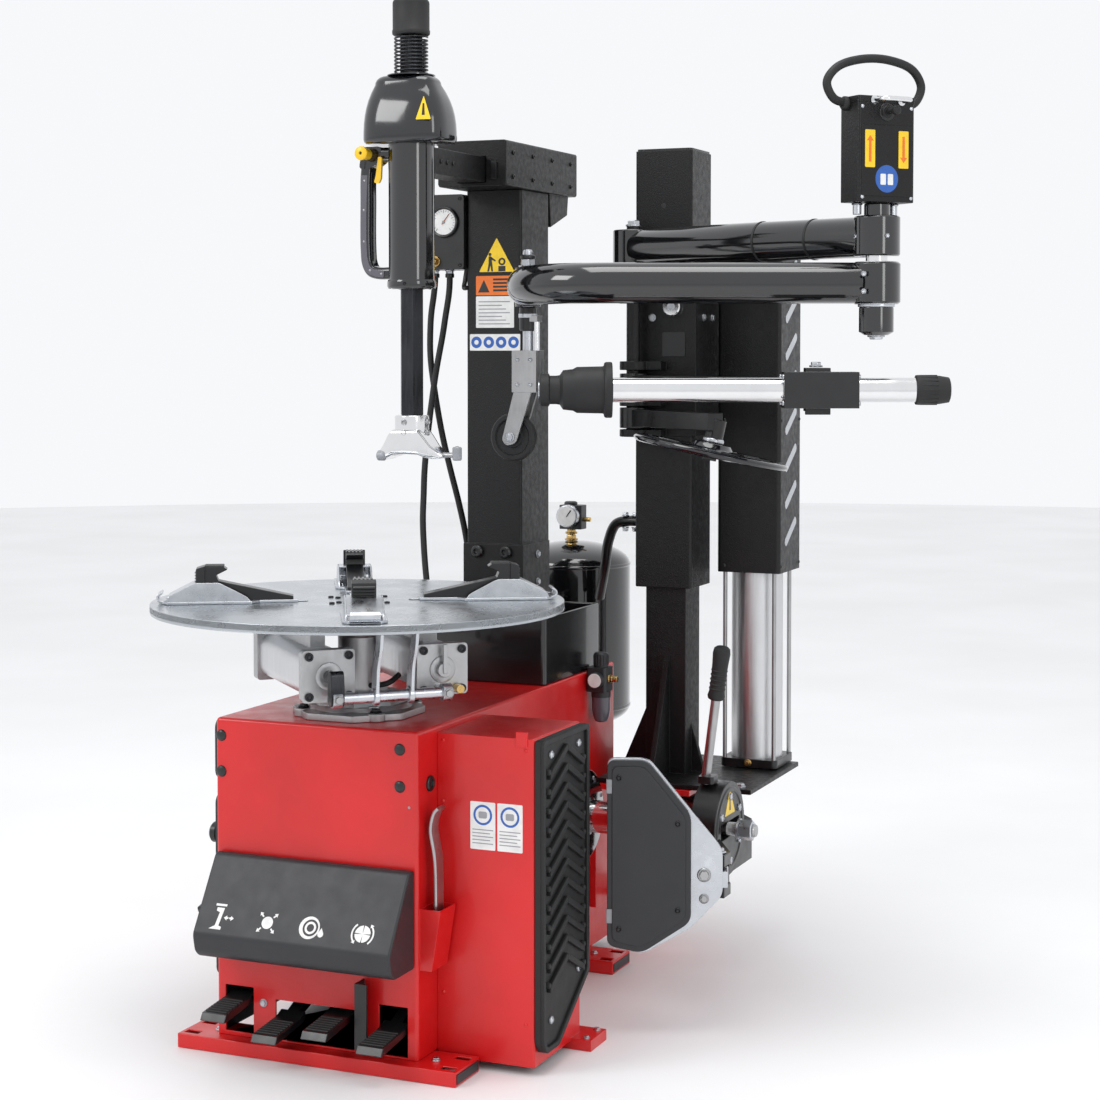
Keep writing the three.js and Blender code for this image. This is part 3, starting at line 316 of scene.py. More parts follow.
class Build:
    """A mesh in millimetres in the machine's frame, made of joined shapes. self.at places each shape."""

    def __init__(self, at=Matrix()):
        self.mesh = bmesh.new()
        self.at = at

    def ring(self, points):
        return [self.mesh.verts.new(self.at @ Vector(point)) for point in points]

    def face(self, corners, use=0):
        self.mesh.faces.new(corners).material_index = use

    def skin(self, rings, use=0, caps=True):
        for low, high in zip(rings, rings[1:]):
            for i in range(len(low)):
                j = (i + 1) % len(low)
                self.face((low[i], low[j], high[j], high[i]), use)
        if caps:
            self.face(rings[0][::-1], use)
            self.face(rings[-1], use)

    def place(self, axis, a, b, height):
        return {"x": (height, a, b), "y": (a, height, b), "z": (a, b, height)}[axis]

    def box(self, x, y, z, use=0):
        self.prism("z", [(x[0], y[0]), (x[1], y[0]), (x[1], y[1]), (x[0], y[1])], z, use)

    def prism(self, axis, outline, heights, use=0):
        self.skin([self.ring([self.place(axis, a, b, h) for a, b in outline]) for h in heights], use)

    def lathe(self, axis, profile, centre=(0, 0), sides=48, use=0, caps=True):
        """Turns [radius, height] points round an axis."""
        rings = []
        for radius, height in profile:
            outline = circle(centre, max(radius, 0.01), sides)
            rings.append(self.ring([self.place(axis, a, b, height) for a, b in outline]))
        self.skin(rings, use, caps)

    def rod(self, axis, radius, heights, centre=(0, 0), sides=32, use=0, edge=0.0):
        """A cylinder with a small chamfer at both ends."""
        low, high = sorted(heights)
        profile = [(radius, low), (radius, high)]
        if edge:
            profile = [(radius - edge, low), (radius, low + edge), (radius, high - edge),
                       (radius - edge, high)]
        self.lathe(axis, profile, centre, sides, use)

    def sweep(self, route, radius, sides=16, use=0, caps=True, section=None, up=(0, 0, 1)):
        """A tube, or a flat section given as (sideways, upwards) points, along a route."""
        route = [Vector(p) for p in route]
        side = None
        rings = []
        for i, point in enumerate(route):
            ahead = (route[min(i + 1, len(route) - 1)] - route[max(i - 1, 0)]).normalized()
            if side is None:
                side = ahead.cross(Vector(up))
                if side.length < 0.1:
                    side = ahead.cross(Vector((1, 0, 0)))
            side = (side - ahead * side.dot(ahead)).normalized()
            over = side.cross(ahead)
            flat = section or circle((0, 0), radius, sides)
            rings.append(self.ring([point + side * a + over * b for a, b in flat]))
        self.skin(rings, use, caps)

    def plate(self, axis, outline, holes, heights, use=0):
        """A flat plate with holes through it."""
        loops = []
        for height in heights:
            edges = []
            level = []
            for loop in (outline, *holes):
                ring = self.ring([self.place(axis, a, b, height) for a, b in loop])
                edges += [self.mesh.edges.new((ring[i - 1], ring[i])) for i in range(len(ring))]
                level.append(ring)
            filled = bmesh.ops.triangle_fill(self.mesh, edges=edges, use_beauty=True)
            for made in filled["geom"]:
                if isinstance(made, bmesh.types.BMFace):
                    made.material_index = use
            loops.append(level)
        for low, high in zip(*loops):
            self.skin([low, high], use, caps=False)

    def bolt(self, place, axis, size, use=0, kind="hex", height=None):
        """A screw head standing on a place, along an axis given as a vector."""
        kept = self.at
        turn = Vector((0, 0, 1)).rotation_difference(Vector(axis)).to_matrix().to_4x4()
        self.at = kept @ Matrix.Translation(place) @ turn
        tall = height or size * 0.42
        if kind == "hex":
            self.rod("z", size * 0.62, (-0.5, size * 0.12), sides=24, use=use, edge=0.3)
            self.lathe("z", [(size / 2, 0), (size / 2, tall * 0.85), (size * 0.43, tall)], sides=6, use=use)
        elif kind == "socket":
            head = [(size / 2 - 0.4, -0.5), (size / 2, 0.2), (size / 2, tall - 0.6), (size / 2 - 0.6, tall)]
            well = [(size * 0.28, tall), (size * 0.26, tall * 0.45), (0.1, tall * 0.4)]
            self.lathe("z", head + well, sides=24, use=use)
        else:
            dome = [(size / 2 * math.cos(t), tall * math.sin(t)) for t in (0, 0.35, 0.7, 1.05, 1.35, 1.55)]
            self.lathe("z", [(size / 2, -0.5), *dome], sides=24, use=use)
        self.at = kept

    def cad(self, node, use=0):
        """Adds a copy of a CAD node's mesh, with its flat faces joined."""
        flat = math.radians(1)
        copy = bmesh.new()
        copy.from_mesh(frame["nodes"][node].data)
        copy.transform(self.at @ TO_FRAME.inverted())
        bmesh.ops.remove_doubles(copy, verts=copy.verts, dist=0.01)
        bmesh.ops.dissolve_limit(copy, angle_limit=flat, verts=copy.verts, edges=copy.edges)
        for made in copy.faces:
            made.material_index = use
        data = bpy.data.meshes.new("copy")
        copy.to_mesh(data)
        copy.free()
        self.mesh.from_mesh(data)
        bpy.data.meshes.remove(data)

    def paint(self, use, test):
        """Gives a material to each face whose centre and normal pass the test."""
        self.mesh.normal_update()
        for made in self.mesh.faces:
            if test(made.calc_center_median(), made.normal):
                made.material_index = use

    def round_edges(self, radius, test, segments=4):
        """Rounds the edges that pass a test of their middle and direction."""
        chosen = []
        for edge in self.mesh.edges:
            start, end = edge.verts[0].co, edge.verts[1].co
            if test((start + end) / 2, (end - start).normalized()):
                chosen.append(edge)
        bmesh.ops.bevel(
            self.mesh, geom=chosen, offset=radius, segments=segments, profile=0.5,
            affect="EDGES", clamp_overlap=False,
        )


def piece(name, build, materials, body, replaces=(), bevel=0.0, segments=2, angle=31, smooth=38):
    """Turns a finished build into an object of the part's frame that rides on a body."""
    bmesh.ops.recalc_face_normals(build.mesh, faces=build.mesh.faces)
    data = bpy.data.meshes.new(name)
    build.mesh.to_mesh(data)
    build.mesh.free()
    data.transform(TO_FRAME)
    data.polygons.foreach_set("use_smooth", [True] * len(data.polygons))
    for material in materials:
        data.materials.append(material)
    made = bpy.data.objects.new(name, data)
    bpy.context.scene.collection.objects.link(made)
    if bevel:
        edges = made.modifiers.new("edges", "BEVEL")
        edges.width = bevel / 1000
        edges.segments = segments
        edges.limit_method = "ANGLE"
        edges.angle_limit = math.radians(angle)
        edges.use_clamp_overlap = False
        made.modifiers.new("normals", "WEIGHTED_NORMAL").keep_sharp = True
    else:
        data.set_sharp_from_angle(angle=math.radians(smooth))
    if body:
        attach(made, body)
    if replaces:
        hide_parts(*replaces)
    return made


def turned_by(degrees, centre=(0, 0, 0), axis="Z"):
    """A turn about an upright (or other) line through a point."""
    return Matrix.Translation(centre) @ Matrix.Rotation(math.radians(degrees), 4, axis)


def facing(origin, right, up):
    """Places flat work, drawn rightwards and upwards, on a surface."""
    right = Vector(right).normalized()
    up = Vector(up).normalized()
    return Matrix.Translation(origin) @ Matrix((right, up, right.cross(up))).transposed().to_4x4()


# How far the printed sheets and the print on them reach out of the surface below.
CARD, CARD_PRINT = (-0.1, 0.35), (0.3, 0.6)
LABEL, PRINT, FIGURE = (-0.1, 0.3), (0.3, 0.5), (0.3, 0.55)


def frontal(x, y, z):
    """A spot on a surface that faces the front (-Y)."""
    return facing((x, y, z), (1, 0, 0), (0, 0, 1))


def sideways(x, y, z):
    """A spot on a surface that faces right (+X)."""
    return facing((x, y, z), (0, 1, 0), (0, 0, 1))


# ---------------------------------------------------------------- camera, light and floor
# Found from the photograph's straight edges: the camera's place in metres from the turntable's axis,
# and how far its view is turned about Z and dips.
VIEW_FROM = (1.869921, -3.47781, 1.25936)
VIEW_TURN = 23.2
VIEW_DIP = 2.33
VIEW_LENS = 70.9
VIEW_SHIFT = -0.10


def camera():
    data = bpy.data.cameras.new("camera")
    data.lens = VIEW_LENS
    data.sensor_width = 36
    data.shift_y = VIEW_SHIFT
    made = bpy.data.objects.new("camera", data)
    made.location = AXIS + Vector(VIEW_FROM)
    made.rotation_euler = (math.radians(90 - VIEW_DIP), 0, math.radians(VIEW_TURN))
    bpy.context.scene.collection.objects.link(made)
    bpy.context.scene.camera = made


def soft_light(name, place, target, size, power, tall=None):
    data = bpy.data.lights.new(name, "AREA")
    data.shape = "RECTANGLE"
    data.size = size
    data.size_y = tall or size
    data.energy = power
    made = bpy.data.objects.new(name, data)
    made.location = place
    made.rotation_euler = (Vector(target) - Vector(place)).to_track_quat("-Z", "Y").to_euler()
    bpy.context.scene.collection.objects.link(made)


def studio():
    world = bpy.data.worlds.new("studio")
    world.use_nodes = True
    sky = world.node_tree.nodes["Background"]
    sky.inputs["Color"].default_value = (0.93, 0.94, 0.96, 1)
    sky.inputs["Strength"].default_value = 1.0
    bpy.context.scene.world = world
    bpy.context.scene.view_settings.view_transform = "Standard"
    middle = (0, 0, 0.9)
    soft_light("key", (-2.6, -3.2, 3.4), middle, 1.6, 50)
    soft_light("fill", (3.6, -2.6, 2.4), middle, 0.9, 24, 2.2)
    soft_light("top", (0.2, -0.6, 4.4), (0, 0, 0), 2.0, 50)
    b = Build(TO_FRAME.inverted())
    just_below = -0.0005
    b.face(b.ring([(x, y, just_below) for x, y in circle((0, 0), 14, 120)]))
    floor = Nodes("pale_floor")
    patchy = floor.ramp(floor.noise(1.1, 4), (0.86, 0.86, 0.86), (0.90, 0.90, 0.905))
    floor.wire(patchy, floor.range(floor.noise(3, 3), 0.55, 0.7))
    piece("floor", b, [floor.material], None)


# ---------------------------------------------------------------- air hoses
HOSE_RADIUS = 6.5
HOSE_TO_TRAY = [
    (-111, 612, 1429.7), (-111, 612, 1408), (-112, 611.7, 1388), (-114, 611, 1370), (-119, 608, 1334),
    (-124, 605, 1296), (-136, 598, 1220), (-145, 592, 1146), (-151, 585, 1075), (-154, 578, 1010),
    (-153.5, 573, 962), (-152, 566, 910), (-147, 560, 857), (-140, 554, 805), (-125, 545, 712),
    (-117, 542, 633.5),
]
HOSE_TO_CABINET = [
    (-140, 602, 1429.7), (-140, 602, 1408), (-144, 603, 1376), (-149, 603.4, 1346), (-152, 604, 1316),
    (-154, 607, 1252), (-148, 612, 1186), (-134, 621, 1088), (-118, 629, 1010), (-103, 637, 942),
    (-91, 646, 872), (-84, 654, 796), (-82, 660, 720), (-82, 662, 685), (-83, 664, 650), (-84, 666, 602.3),
]


def hose(node, points):
    route = smooth_route(points, 6)
    b = Build()
    b.sweep(route, HOSE_RADIUS, 16)
    made = piece(node + "_tube", b, [RUBBER], None, [node])
    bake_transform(made)


# ---------------------------------------------------------------- cabinet, wing, pad and rails
GAP = 0.3  # the clearance between touching solids
LIFT_LINE = (464, 925)  # X and Y of the lift cylinder and its rod
BREAKER_LINE = (480, 338)  # Y and Z of the bead breaker's cylinder and rod
LEFT = span("cabinet")[0].x
RIGHT = span("side_wing")[0].x - GAP
FRONT = span("pedal_hood")[1].y + GAP
BACK = span("air_tank")[0].y - GAP
TOP = span("storage_tray")[0].z - GAP


def near(value, *wanted):
    return any(abs(value - each) < 0.6 for each in wanted)


def upright(x, y, above):
    """A test that picks upright edges at given X and Y places, above a height."""
    def wanted(middle, way):
        return abs(way.z) > 0.99 and near(middle.x, *x) and near(middle.y, *y) and middle.z > above

    return wanted


def cabinet():
    b = Build()
    b.cad("cabinet")

    def outer(middle, way):
        corner = upright((LEFT, RIGHT), (FRONT, BACK), 0)(middle, way)
        level = near(middle.z, TOP) and abs(way.z) < 0.01
        return corner or (level and (near(middle.x, LEFT, RIGHT) or near(middle.y, FRONT)))

    def dark(middle, normal):
        inside = LEFT + 3 < middle.x < RIGHT - 3 and FRONT + 3 < middle.y < BACK - 3
        guard = middle.y < FRONT - 0.5 and middle.z < 200
        return middle.z > TOP + 0.5 or guard or (inside and middle.z < TOP - 3)

    b.round_edges(7, outer)
    b.paint(1, dark)
    piece("cabinet_shell", b, [RED, BLACK], "root", ["cabinet"], 0.8)


def cabinet_trim():
    b = Build()
    for x in (-200, 160):
        for z in (505, 570):
            b.bolt((x, FRONT, z), (0, -1, 0), 21, 0, "dome", 4.5)
    b.at = sideways(RIGHT, -102, 505)
    b.lathe("z", [(14, -1), (14, 3), (12, 5), (8, 5), (7, 1), (0.1, 1)], use=0)
    b.at = Matrix()
    b.bolt((-115, FRONT, 93), (0, -1, 0), 12, 1)
    b.bolt((178, FRONT, 470), (0, -1, 0), 5, 2, "dome", 1.5)
    # Moulded covers on the left side, with a latch knob and a folded pull lever.
    for y, z in (((-138, 330), (487, 596)), ((-138, 560), (128, 459))):
        b.prism("x", rounded((y[0], z[0]), (y[1], z[1]), 16), (LEFT - 9, LEFT + 0.5), 3)
        b.prism("x", rounded((y[0] + 9, z[0] + 9), (y[1] - 9, z[1] - 9), 10), (LEFT - 12, LEFT - 9), 3)
    b.lathe("x", [(15, LEFT - 11), (15, LEFT - 22), (19, LEFT - 27), (19, LEFT - 36), (15, LEFT - 40)],
            (-96, 380), use=4)
    lever = [(LEFT - 10, -60, 250), (LEFT - 30, -72, 252), (LEFT - 40, -100, 246), (LEFT - 42, -134, 236)]
    b.sweep(smooth_route(lever, 6), 0, use=4, section=rounded((-6, -15), (6, 15), 5))
    for place in ((620, 560), (620, 180), (740, 560), (740, 180)):
        b.bolt((LEFT, *place), (-1, 0, 0), 12, 1, "dome", 4)
    # A screwed hatch on the back.
    b.prism("y", rounded((-150, 120), (60, 400), 14), (BACK - 0.5, BACK + 2), 5)
    for x in (-138, 48):
        for z in (132, 388):
            b.bolt((x, BACK + 2, z), (0, 1, 0), 11, 1, "dome", 3.5)
    piece("cabinet_trim", b, [BLACK, ZINC, LABEL_GREY, PLASTIC, BLACK, RED], "root",
          bevel=0.6)


def side_wing():
    b = Build()
    b.cad("side_wing")
    y0, (x1, y1, z1) = -73, (381, 137, 590)

    def outer(middle, way):
        corner = upright([x1], (y0, y1), 100)(middle, way)
        level = near(middle.z, z1) and abs(way.z) < 0.01
        return corner or (level and (near(middle.x, x1) or near(middle.y, y1)))

    b.round_edges(5, outer)
    piece("wing_shell", b, [RED], "root", ["side_wing"], 0.8)
    b = Build()
    for x, z in ((206, 578), (206, 470), (206, 250), (206, 130), (365, 570), (365, 90)):
        b.bolt((x, y0, z), (0, -1, 0), 7, 0, "dome", 2.2)
    for x, y in ((406, 104), (406, 156)):
        b.bolt((x, y, 20), (0, 0, 1), 11, 1)
    piece("wing_screws", b, [RED, ZINC], "root")
    for number, x in enumerate((283, 335)):
        wing_sticker(number + 1, x, y0, 432)


def wing_sticker(number, x, y, z):
    """A blank service card: a blue ring over pale grey rows."""
    b = Build(frontal(x, y, z))
    b.prism("z", rounded((-24, -42), (24, 42), 2), CARD, 0)
    b.plate("z", circle((0, 19), 18, 48), [circle((0, 19), 14, 48)], CARD_PRINT, 1)
    b.prism("z", rounded((-8, 13), (8, 25), 3), CARD_PRINT, 2)
    for row, v in enumerate((-8, -14, -20, -26, -32)):
        b.prism("z", [(-20, v), (20 - 6 * (row % 2), v), (20 - 6 * (row % 2), v + 1.8), (-20, v + 1.8)],
                PRINT, 2)
    piece(f"wing_service_card_{number}", b, [LABEL_WHITE, LABEL_BLUE, LABEL_GREY], "root")


def bead_pad():
    low, high = span("bead_pad")
    x = (low.x, low.x + 12, high.x - 2, high.x)
    outline = [(-73, 60), (-59, 38), (-2, 38), (92, 103), (137, 134), (137, 588), (-73, 588)]
    inner = [(-63, 66), (-55, 48), (-5, 48), (86, 111), (127, 140), (127, 578), (-63, 578)]
    b = Build()
    b.prism("x", fillet(outline, 9), (x[0], x[1]))
    b.plate("x", fillet(outline, 9), [fillet(inner, 7)], (x[1] - 0.5, x[2]))
    for z in range(170, 560, 34):
        for side in (-1, 1):
            bar = [(32, z + 24), (32, z + 12), (32 + side * 78, z - 28), (32 + side * 78, z - 16)]
            b.prism("x", bar, (x[1] - 0.5, x[3]))
    for z in range(156, 545, 34):
        for y in (-48, 112):
            b.lathe("x", [(6, x[1] - 0.5), (5, x[2]), (3.5, x[3])], (y, z), 20)
    for place in ((-30, 90), (95, 150), (-30, 558), (95, 558)):
        b.bolt((x[1], *place), (1, 0, 0), 13, 1, "socket", 4)
    piece("pad_rubber", b, [RUBBER, ZINC], "root", ["bead_pad"], 1.6, 3)


def rails():
    for name in ("front_rail", "rear_rail"):
        low, high = span(name)
        b = Build()
        b.cad(name)
        piece(name + "_channel", b, [RED], "root", [name], 1.6, 3)
        b = Build()
        for x in ((low.x - 1.5, low.x + 6), (high.x - 6, high.x + 1.5)):
            b.box(x, (low.y + 5, high.y - 5), (4, high.z - 5))
        middle = (low.y + high.y) / 2
        for x in (low.x + 60, high.x - 60):
            b.bolt((x, middle, high.z), (0, 0, 1), 13, 1)
        piece(name + "_ends", b, [PLASTIC, ZINC], "root", bevel=0.7)


# ---------------------------------------------------------------- pedals and their hood
def arrow(b, at, degrees, length, width, use=0, heights=(0, 0.4)):
    """A straight printed arrow that starts at a point."""
    turn = math.radians(degrees)
    way = Vector((math.cos(turn), math.sin(turn)))
    side = Vector((-way.y, way.x))
    start = Vector(at)
    neck = start + way * (length - width * 1.3)
    tip = start + way * length
    corners = [
        start - side * width * 0.35, neck - side * width * 0.35, neck - side * width, tip,
        neck + side * width, neck + side * width * 0.35, start + side * width * 0.35,
    ]
    b.prism("z", [tuple(c) for c in corners], heights, use)


def curved_band(centre, inner, outer, start, end):
    return arc(centre, outer, start, end, 12) + arc(centre, inner, end, start, 12)


def pedal_icons():
    """Four plain function symbols on the hood's sloping face."""
    b = Build()
    low, high = Vector((0, -247, 232)), Vector((0, -168, 362))
    up = (high - low).normalized()
    spots = [low + up * 36 + Vector((x, 0, 0)) for x in (-152, -60, 30, 128)]
    ways = [facing(spot, (1, 0, 0), up) for spot in spots]
    thin = (-0.1, 0.4)
    b.at = ways[0]
    pillar = [(-21, -22), (3, -22), (3, -17), (-3, -15), (1, 17), (-14, 17), (-14, 11), (-7, 9), (-10, -15)]
    b.prism("z", pillar, thin)
    b.prism("z", [(-18, 20), (4, 20), (4, 24), (-18, 24)], thin)
    arrow(b, (15, 0), 0, 9, 4.5, 0, thin)
    arrow(b, (13, 0), 180, 9, 4.5, 0, thin)
    b.at = ways[1]
    b.prism("z", circle((0, 0), 11, 48), thin)
    for turn in (45, 135, 225, 315):
        away = Vector((math.cos(math.radians(turn)), math.sin(math.radians(turn))))
        arrow(b, away * 14, turn, 11, 4.2, 0, thin)
    b.at = ways[2]
    b.plate("z", circle((-6, 0), 20, 48), [circle((-4, 0), 15, 48)], thin)
    b.plate("z", circle((-4, 0), 11, 48), [circle((-4, 0), 7, 48)], thin)
    drop = [(18, 2)] + arc((18, -9), 5.5, 30, -210, 14)
    b.prism("z", drop, thin)
    b.at = ways[3]
    for start in range(0, 360, 90):
        b.prism("z", [(0, 0)] + arc((0, 0), 15, start + 4, start + 86, 8), thin)
    for start in (-50, 130):
        b.prism("z", curved_band((0, 0), 19, 22, start, start + 84), thin)
        end = math.radians(start + 84)
        arrow(b, (20.5 * math.cos(end), 20.5 * math.sin(end)), start + 174, 8, 4, 0, thin)
    piece("pedal_symbols", b, [LABEL_WHITE], "root")


def pedal_hood():
    low, high = span("pedal_hood")
    outline = [(high.y, 188), (high.y, 362), (-168, 362), (-247, 232), (-240, 200), (-226, 188)]
    b = Build()
    b.prism("x", fillet(outline, 8, 4), (low.x, high.x))
    piece("hood_shell", b, [PLASTIC], "root", ["pedal_hood"], 4, 4, 45)


def pedals():
    for i in range(1, 5):
        node = f"pedal_{i}"
        low, high = span(node)
        b = Build()
        b.cad(node)
        for k in range(7):
            y = low.y + 12 + 62 * (k + 0.5) / 7
            b.rod("x", 2.6, (low.x + 3, high.x - 3), (y, pedal_top(low, y)), 12, 1)
        piece(node + "_tread", b, [BLACK, RUBBER], node, [node], 1.3, 3)


def pedal_top(low, y):
    """The height of a pedal's tread, which rises from the tip at the pedal's lowest corner."""
    return low.z + 13 + 9 * (y - low.y - 8) / 82


# ---------------------------------------------------------------- turntable
TABLE_TOP = span("table_disc")[1].z
TABLE_RADIUS = span("table_disc")[1].x
TABLE_THICKNESS = 12
JAW_TURN = 30
CYLINDER_TURN = -44


def table():
    slot = rounded((92, -13), (330, 13), 6, 3)
    ways = circle((0, 0), 1, 4, JAW_TURN)
    holes = [[(a * c - d * s, a * s + d * c) for a, d in slot] for c, s in ways]
    rim = TABLE_RADIUS
    outline = circle((0, 0), rim, 144)
    b = Build()
    b.plate("z", outline, holes, (TABLE_TOP - TABLE_THICKNESS, TABLE_TOP))
    lip = [(rim - 7, TABLE_TOP - 13), (rim - 1, TABLE_TOP - 16), (rim, TABLE_TOP - 15), (rim, TABLE_TOP - 1)]
    b.lathe("z", lip, sides=144, caps=False)
    piece("table_plate", b, [TABLE_ZINC], "turntable", ["table_disc"], 1.0, 2)
    b = Build()
    b.lathe("z", [(21, TABLE_TOP - 0.5), (21, TABLE_TOP + 3), (18, TABLE_TOP + 6), (8, TABLE_TOP + 7)],
            sides=48, use=1)
    for c, s in circle((0, 0), 1, 4, JAW_TURN + 45):
        for radius in (52, 70):
            b.bolt((radius * c, radius * s, TABLE_TOP), (0, 0, 1), 10, 1, "socket", 3)
    piece("table_hub", b, [TABLE_ZINC, DARK_STEEL], "turntable", bevel=0.5)


def spindle():
    low, high = span("table_spindle")
    b = Build()
    profile = [(38, low.z), (38, high.z - 52), (52, high.z - 44), (84, high.z - 36), (84, high.z)]
    b.lathe("z", profile, sides=64)
    for height in (high.z - 20, high.z - 10):
        b.lathe("z", [(83, height - 2), (85.5, height - 1), (85.5, height + 1), (83, height + 2)], sides=64)
    piece("spindle_turned", b, [STEEL], "turntable", ["table_spindle"], 0.8)


def gear_flange():
    low = TOP + GAP
    b = Build()
    b.cad("gear_motor")
    b.round_edges(5, lambda m, w: abs(w.z) > 0.99 and m.z > TOP and math.hypot(m.x, m.y) > 100, 3)
    for r0, r1, z0, z1 in ((100, 92, 14, 22), (80, 74, 34, 38), (60, 54, 38, 44)):
        b.lathe("z", [(r0, low + z0 - 2), (r0, low + z0), (r1, low + z1), (r1 - 8, low + z1)], sides=64)
    for x, y in circle((0, 0), 104, 4, 45):
        b.lathe("z", [(17, low), (17, low + 13), (15, low + 15)], (x, y), 28)
        b.bolt((x, y, low + 15), (0, 0, 1), 17, 1)
        corners = ((0.9, 0.09), (0.9, -0.09), (0.6, -0.05), (0.6, 0.05))
        rib = [(x * out - y * half, y * out + x * half) for out, half in corners]
        b.prism("z", rib, (low + 8, low + 24))
    piece("gear_flange_cast", b, [ALUMINIUM, DARK_STEEL], "root", ["gear_motor"], 1.2, 2)


def jaw_cylinders():
    middle = 696
    for side, name in ((1, "right"), (-1, "left")):
        offset = side * 105
        b = Build(turned_by(CYLINDER_TURN))
        plate = rounded((offset - 48, 650), (offset + 48, 742), 7)
        for x in ((-165, -139), (135 if side < 0 else 140, 157)):
            b.prism("x", plate, x, 0)
        body = rounded((offset - 43, 655), (offset + 43, 737), 26, 6)
        b.prism("x", body, (-140, 141), 1)
        b.box((-110, 90), (offset - 14, offset + 14), (middle, 794.6), 0)
        b.prism("z", rounded((-92, offset - 40), (-32, offset + 40), 12), (784, 794.6), 0)
        for a in (-1, 1):
            for c in (-1, 1):
                corner = (offset + a * 36, middle + c * 35)
                b.bolt((157, *corner), (1, 0, 0), 15, 2, "socket", 5)
                b.bolt((-165, *corner), (-1, 0, 0), 15, 2, "socket", 5)
        b.lathe("x", [(24, 156), (24, 159), (19, 160), (16, 160)], (offset, middle), 40, 0)
        if side < 0:
            b.rod("x", 11, (155, 196), (offset, middle), 32, 2)
            b.prism("y", fillet([(186, 652), (210, 648), (212, 676), (208, 710), (190, 710)], 8),
                    (offset - 12, offset + 12), 2)
        else:
            b.rod("x", 13, (155, 171), (offset, middle), 32, 0)
            b.box((168, 174), (offset - 4, offset + 4), (690, 742), 0)
            b.rod("x", 8, (150, 180), (offset + 26, 662), 20, 3)
            b.bolt((160, offset + 26, 662), (1, 0, 0), 13, 3)
        piece(f"jaw_cylinder_{name}_body", b, [ALUMINIUM, ANODISED, DARK_STEEL, BRASS], "turntable",
              [f"jaw_cylinder_{name}"], 1.0, 2)
    b = Build(turned_by(CYLINDER_TURN))
    rod = (199, 662)
    b.rod("y", 10, (-112, 108), rod, 32, 0, 1)
    for y in (-105, 96):
        b.rod("y", 16, (y - 9, y + 9), rod, 32, 0, 1)
        b.bolt((215, y, 662), (1, 0, 0), 15, 1, "hex", 6)
    b.box((160, 200), (90, 102), (656, 668), 0)
    for y in (-34, 30):
        link = smooth_route([(228, y, 786), (222, y, 752), (206, y, 716), (199, y, 662)], 6)
        b.sweep(link, 0, use=0, section=[(-3, -13), (3, -13), (3, 13), (-3, 13)], up=(1, 0, 0))
        b.rod("y", 15, (y - 5, y + 5), rod, 32, 0, 1)
    b.prism("z", rounded((196, -46), (252, 42), 10), (784, 790), 0)
    b.bolt((228, -2, 784), (0, 0, -1), 15, 1)
    piece("jaw_link", b, [ZINC, STEEL], "turntable", bevel=0.8)
    b = Build(turned_by(CYLINDER_TURN))
    pipe = [(60, 57, 676), (70, 34, 664), (40, 12, 656), (-14, -2, 655), (-40, -20, 664), (-50, -58, 676)]
    b.sweep(smooth_route(pipe), 5, 12)
    piece("jaw_air_pipe", b, [RUBBER], "turntable")


def jaws():
    names = ("jaw_right", "jaw_back", "jaw_left", "jaw_front")
    base = TABLE_TOP + GAP
    claw_at, outer, wide = 260, 352, 38
    for index, name in enumerate(names):
        b = Build(turned_by(JAW_TURN + 90 * index))
        edge = [(110, -20), (178, -22), (192, -wide), (outer - 10, -wide), (outer, -wide + 10)]
        slide = edge + [(x, -y) for x, y in reversed(edge)]
        b.prism("z", slide, (base, base + 5), 0)
        for side in (-1, 1):
            y = side * (wide - 7)
            fold = fillet([(192, base + 1), (outer - 4, base + 1), (outer - 10, base + 14),
                           (claw_at + 34, base + 38), (claw_at - 10, base + 38), (200, base + 12)], 5)
            b.prism("y", fold, (y - 2, y + 2), 0)
            for x in (206, 236, 344):
                b.bolt((x, side * 24, base + 5), (0, 0, 1), 7, 0, "dome", 2)
        roof = [(claw_at - 8, base + 34), (claw_at + 34, base + 34), (outer - 12, base + 11),
                (outer - 10, base + 14)]
        b.prism("y", roof + [(claw_at + 34, base + 38), (claw_at - 8, base + 38)], (-wide + 6, wide - 6), 0)
        b.box((196, 262), (-10, 10), (base - 10, base + 2), 0)
        curl = [(outer - 4, 0, base + 3), (outer + 6, 0, base + 6), (outer + 8, 0, base + 14),
                (outer, 0, base + 20)]
        b.sweep(smooth_route(curl, 4), 0, use=0, section=[(-26, -2), (26, -2), (26, 2), (-26, 2)])
        claw = [(118, base + 5), (claw_at + 26, base + 5), (claw_at + 30, base + 34),
                (claw_at + 30, base + 56), (claw_at + 16, base + 66), (claw_at - 16, base + 66),
                (claw_at - 24, base + 60), (claw_at - 4, base + 50), (claw_at - 8, base + 40),
                (claw_at - 26, base + 36), (118, base + 11)]
        b.prism("y", claw, (-17, 17), 1)
        nose = [(claw_at + 16, base + 34), (claw_at + 32, base + 36), (claw_at + 32, base + 62),
                (claw_at + 16, base + 67)]
        b.prism("y", nose, (-21, 21), 1)
        for k in range(4):
            z = base + 38 + 5.2 * k
            b.prism("y", [(claw_at + 31, z), (claw_at + 35, z + 1), (claw_at + 31, z + 4)], (-19, 19), 1)
        for k in range(5):
            y = -14 + 7 * k
            b.box((claw_at - 18, claw_at + 16), (y - 1.8, y + 1.8), (base + 64, base + 68), 1)
        for side in (-1, 1):
            b.bolt((claw_at + 4, side * 17, base + 30), (0, side, 0), 11, 2, "dome", 3)
        piece(name + "_claw", b, [ZINC, BLACK, STEEL], name, [name], 1.1, 2)


